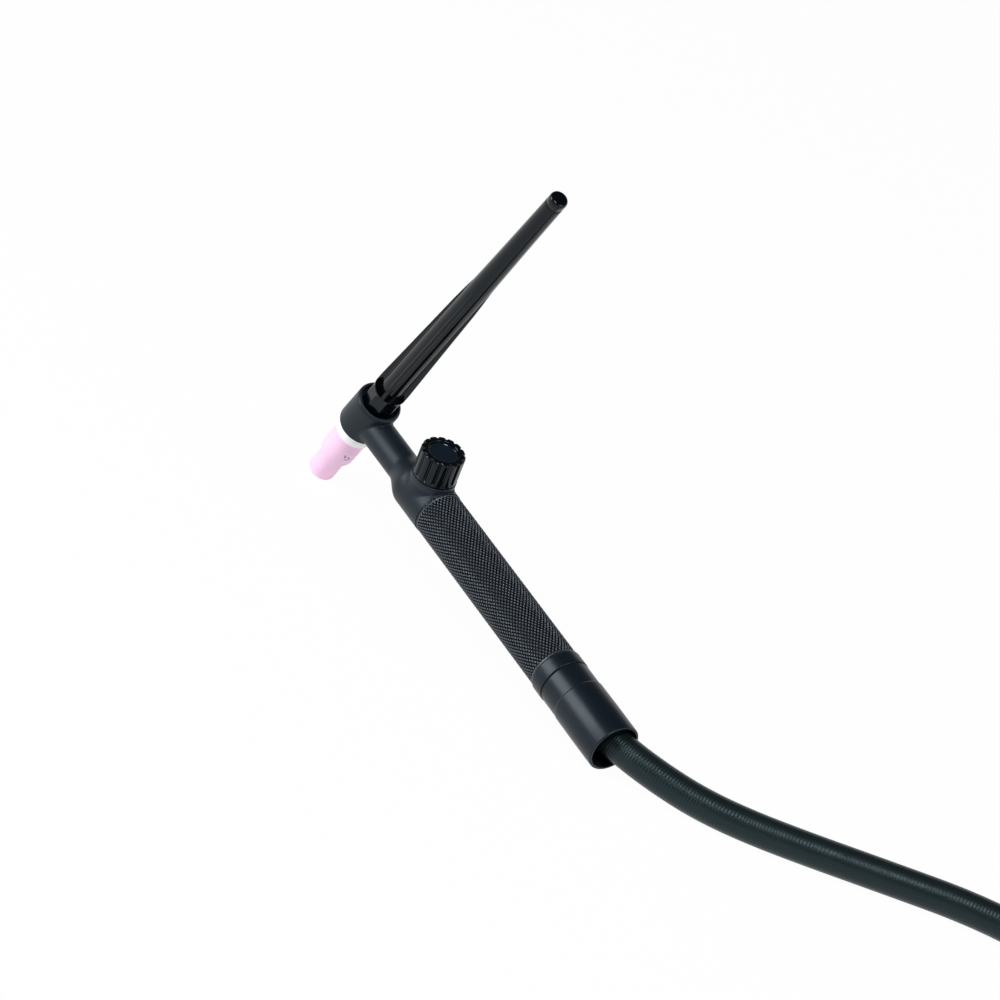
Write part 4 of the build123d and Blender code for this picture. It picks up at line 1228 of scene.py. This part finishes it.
straps = [strap("far_strap", "outer_strap"), strap("near_strap", "inner_strap")]
print("straps", len(straps))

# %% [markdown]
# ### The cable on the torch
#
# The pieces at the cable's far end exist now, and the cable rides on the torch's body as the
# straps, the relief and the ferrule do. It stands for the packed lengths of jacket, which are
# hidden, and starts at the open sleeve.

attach(cable, "torch")
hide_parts("power_cable", "cable_hank", "cable_tail")
print("cable declared from", [round(value, 4) for value in cable_points[0]])

# %% [markdown]
# ## The pieces inside
#
# The socket, tubes, collet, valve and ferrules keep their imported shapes, which are right.
# They only need their metals, and the seals their rubber, so that a cutaway or a taken-off
# nozzle shows real finishes.

# %% Dress the inner pieces
inner_finishes = {
    "head_socket": BRASS, "valve_block": BRASS, "gland_nut": BRASS, "hose_tail": BRASS, "tail_nut": BRASS,
    "valve_stem": BRASS, "cap_insert": BRASS, "end_nipple": BRASS, "neck_tube": COPPER, "collet_body": COPPER,
    "collet": COPPER, "conductor": COPPER, "crimp_ferrule": FERRULE_METAL, "electrode": TUNGSTEN,
    "knob_screw": STEEL, "cap_oring": SEAL_RUBBER, "stem_oring": SEAL_RUBBER, "grip_oring": SEAL_RUBBER,
    "cable_lead": CABLE_RUBBER,
}
for name, finish in inner_finishes.items():
    nodes[name].data.materials.clear()
    nodes[name].data.materials.append(finish)
print("inner pieces", len(inner_finishes))

# %% [markdown]
# ## The floor
#
# The torch lies on a white sweep. The floor is pale and keeps a faint shadow: for the camera
# and in reflections it is mostly its own white, with a small share of real shading left in.

# %% Lay the floor
OWN_WHITE = 0.97
FLOOR_WHITE, tree, shader = start_material("white sweep")
shader.inputs["Base Color"].default_value = (0.80, 0.80, 0.80, 1.0)
shader.inputs["Roughness"].default_value = 0.9
shader.inputs["Specular IOR Level"].default_value = 0.0
glow = add_node(tree, "ShaderNodeEmission")
glow.inputs["Color"].default_value = (1.0, 1.0, 1.0, 1.0)
glow.inputs["Strength"].default_value = 1.0
path = add_node(tree, "ShaderNodeLightPath")
seen = math_node(tree, "MAXIMUM", path.outputs["Is Camera Ray"], path.outputs["Is Glossy Ray"])
seen = math_node(tree, "MAXIMUM", seen, path.outputs["Is Transmission Ray"])
share = math_node(tree, "MULTIPLY", seen, OWN_WHITE)
blend = add_node(tree, "ShaderNodeMixShader")
tree.links.new(share, blend.inputs["Fac"])
tree.links.new(shader.outputs["BSDF"], blend.inputs[1])
tree.links.new(glow.outputs["Emission"], blend.inputs[2])
tree.links.new(blend.outputs["Shader"], tree.nodes["Material Output"].inputs["Surface"])
floor_mesh = bpy.data.meshes.new("sweep")
floor_mesh.from_pydata([(-4, -4, 0), (4, -4, 0), (4, 4, 0), (-4, 4, 0)], [], [(0, 1, 2, 3)])
floor = new_piece("sweep", floor_mesh)
floor.data.materials.append(FLOOR_WHITE)
print("floor across in metres", round(floor.dimensions.x, 1))

# %% [markdown]
# ## The light and the surroundings
#
# Dark plastic shows mostly what it mirrors, so the world is white near the horizon and dark
# overhead, as in a studio with a white backdrop. One tall softbox at the side draws the long
# highlights down the round pieces. A key lamp from above and a weak fill light what the
# softbox doesn't reach. All three face the middle of the torch.

# %% Hang the lamps
LIT_SPOT = Vector((0.0, 0.0, 0.03))


def lamp(name, place, width, height, watts):
    """A soft rectangular lamp that faces the lit spot."""
    data = bpy.data.lights.new(name, "AREA")
    data.shape = "RECTANGLE"
    data.size, data.size_y, data.energy = width, height, watts
    piece = new_piece(name, data)
    piece.location = place
    piece.rotation_mode = "QUATERNION"
    piece.rotation_quaternion = (LIT_SPOT - Vector(place)).to_track_quat("-Z", "Y")
    return piece


lamps = [
    lamp("side softbox", (-0.55, -0.88, 0.68), width=0.55, height=0.80, watts=12.5),
    lamp("key", (0.60, -0.35, 1.30), width=0.45, height=0.45, watts=9.0),
    lamp("fill", (1.15, 0.35, 0.55), width=0.60, height=0.60, watts=5.0),
]
world = bpy.data.worlds.new("studio")
bpy.context.scene.world = world
world.use_nodes = True
sky = world.node_tree
background = sky.nodes["Background"]
direction = add_node(sky, "ShaderNodeSeparateXYZ")
sky.links.new(add_node(sky, "ShaderNodeTexCoord").outputs["Generated"], direction.inputs["Vector"])
ceiling = add_node(sky, "ShaderNodeMapRange", clamp=True, interpolation_type="SMOOTHSTEP")
sky.links.new(direction.outputs["Z"], ceiling.inputs["Value"])
for title, value in (("From Min", 0.13), ("From Max", 0.42), ("To Min", 1.0), ("To Max", 0.07)):
    ceiling.inputs[title].default_value = value
sky.links.new(ceiling.outputs["Result"], background.inputs["Strength"])
background.inputs["Color"].default_value = (1.0, 1.0, 1.0, 1.0)
print("lamps", len(lamps))
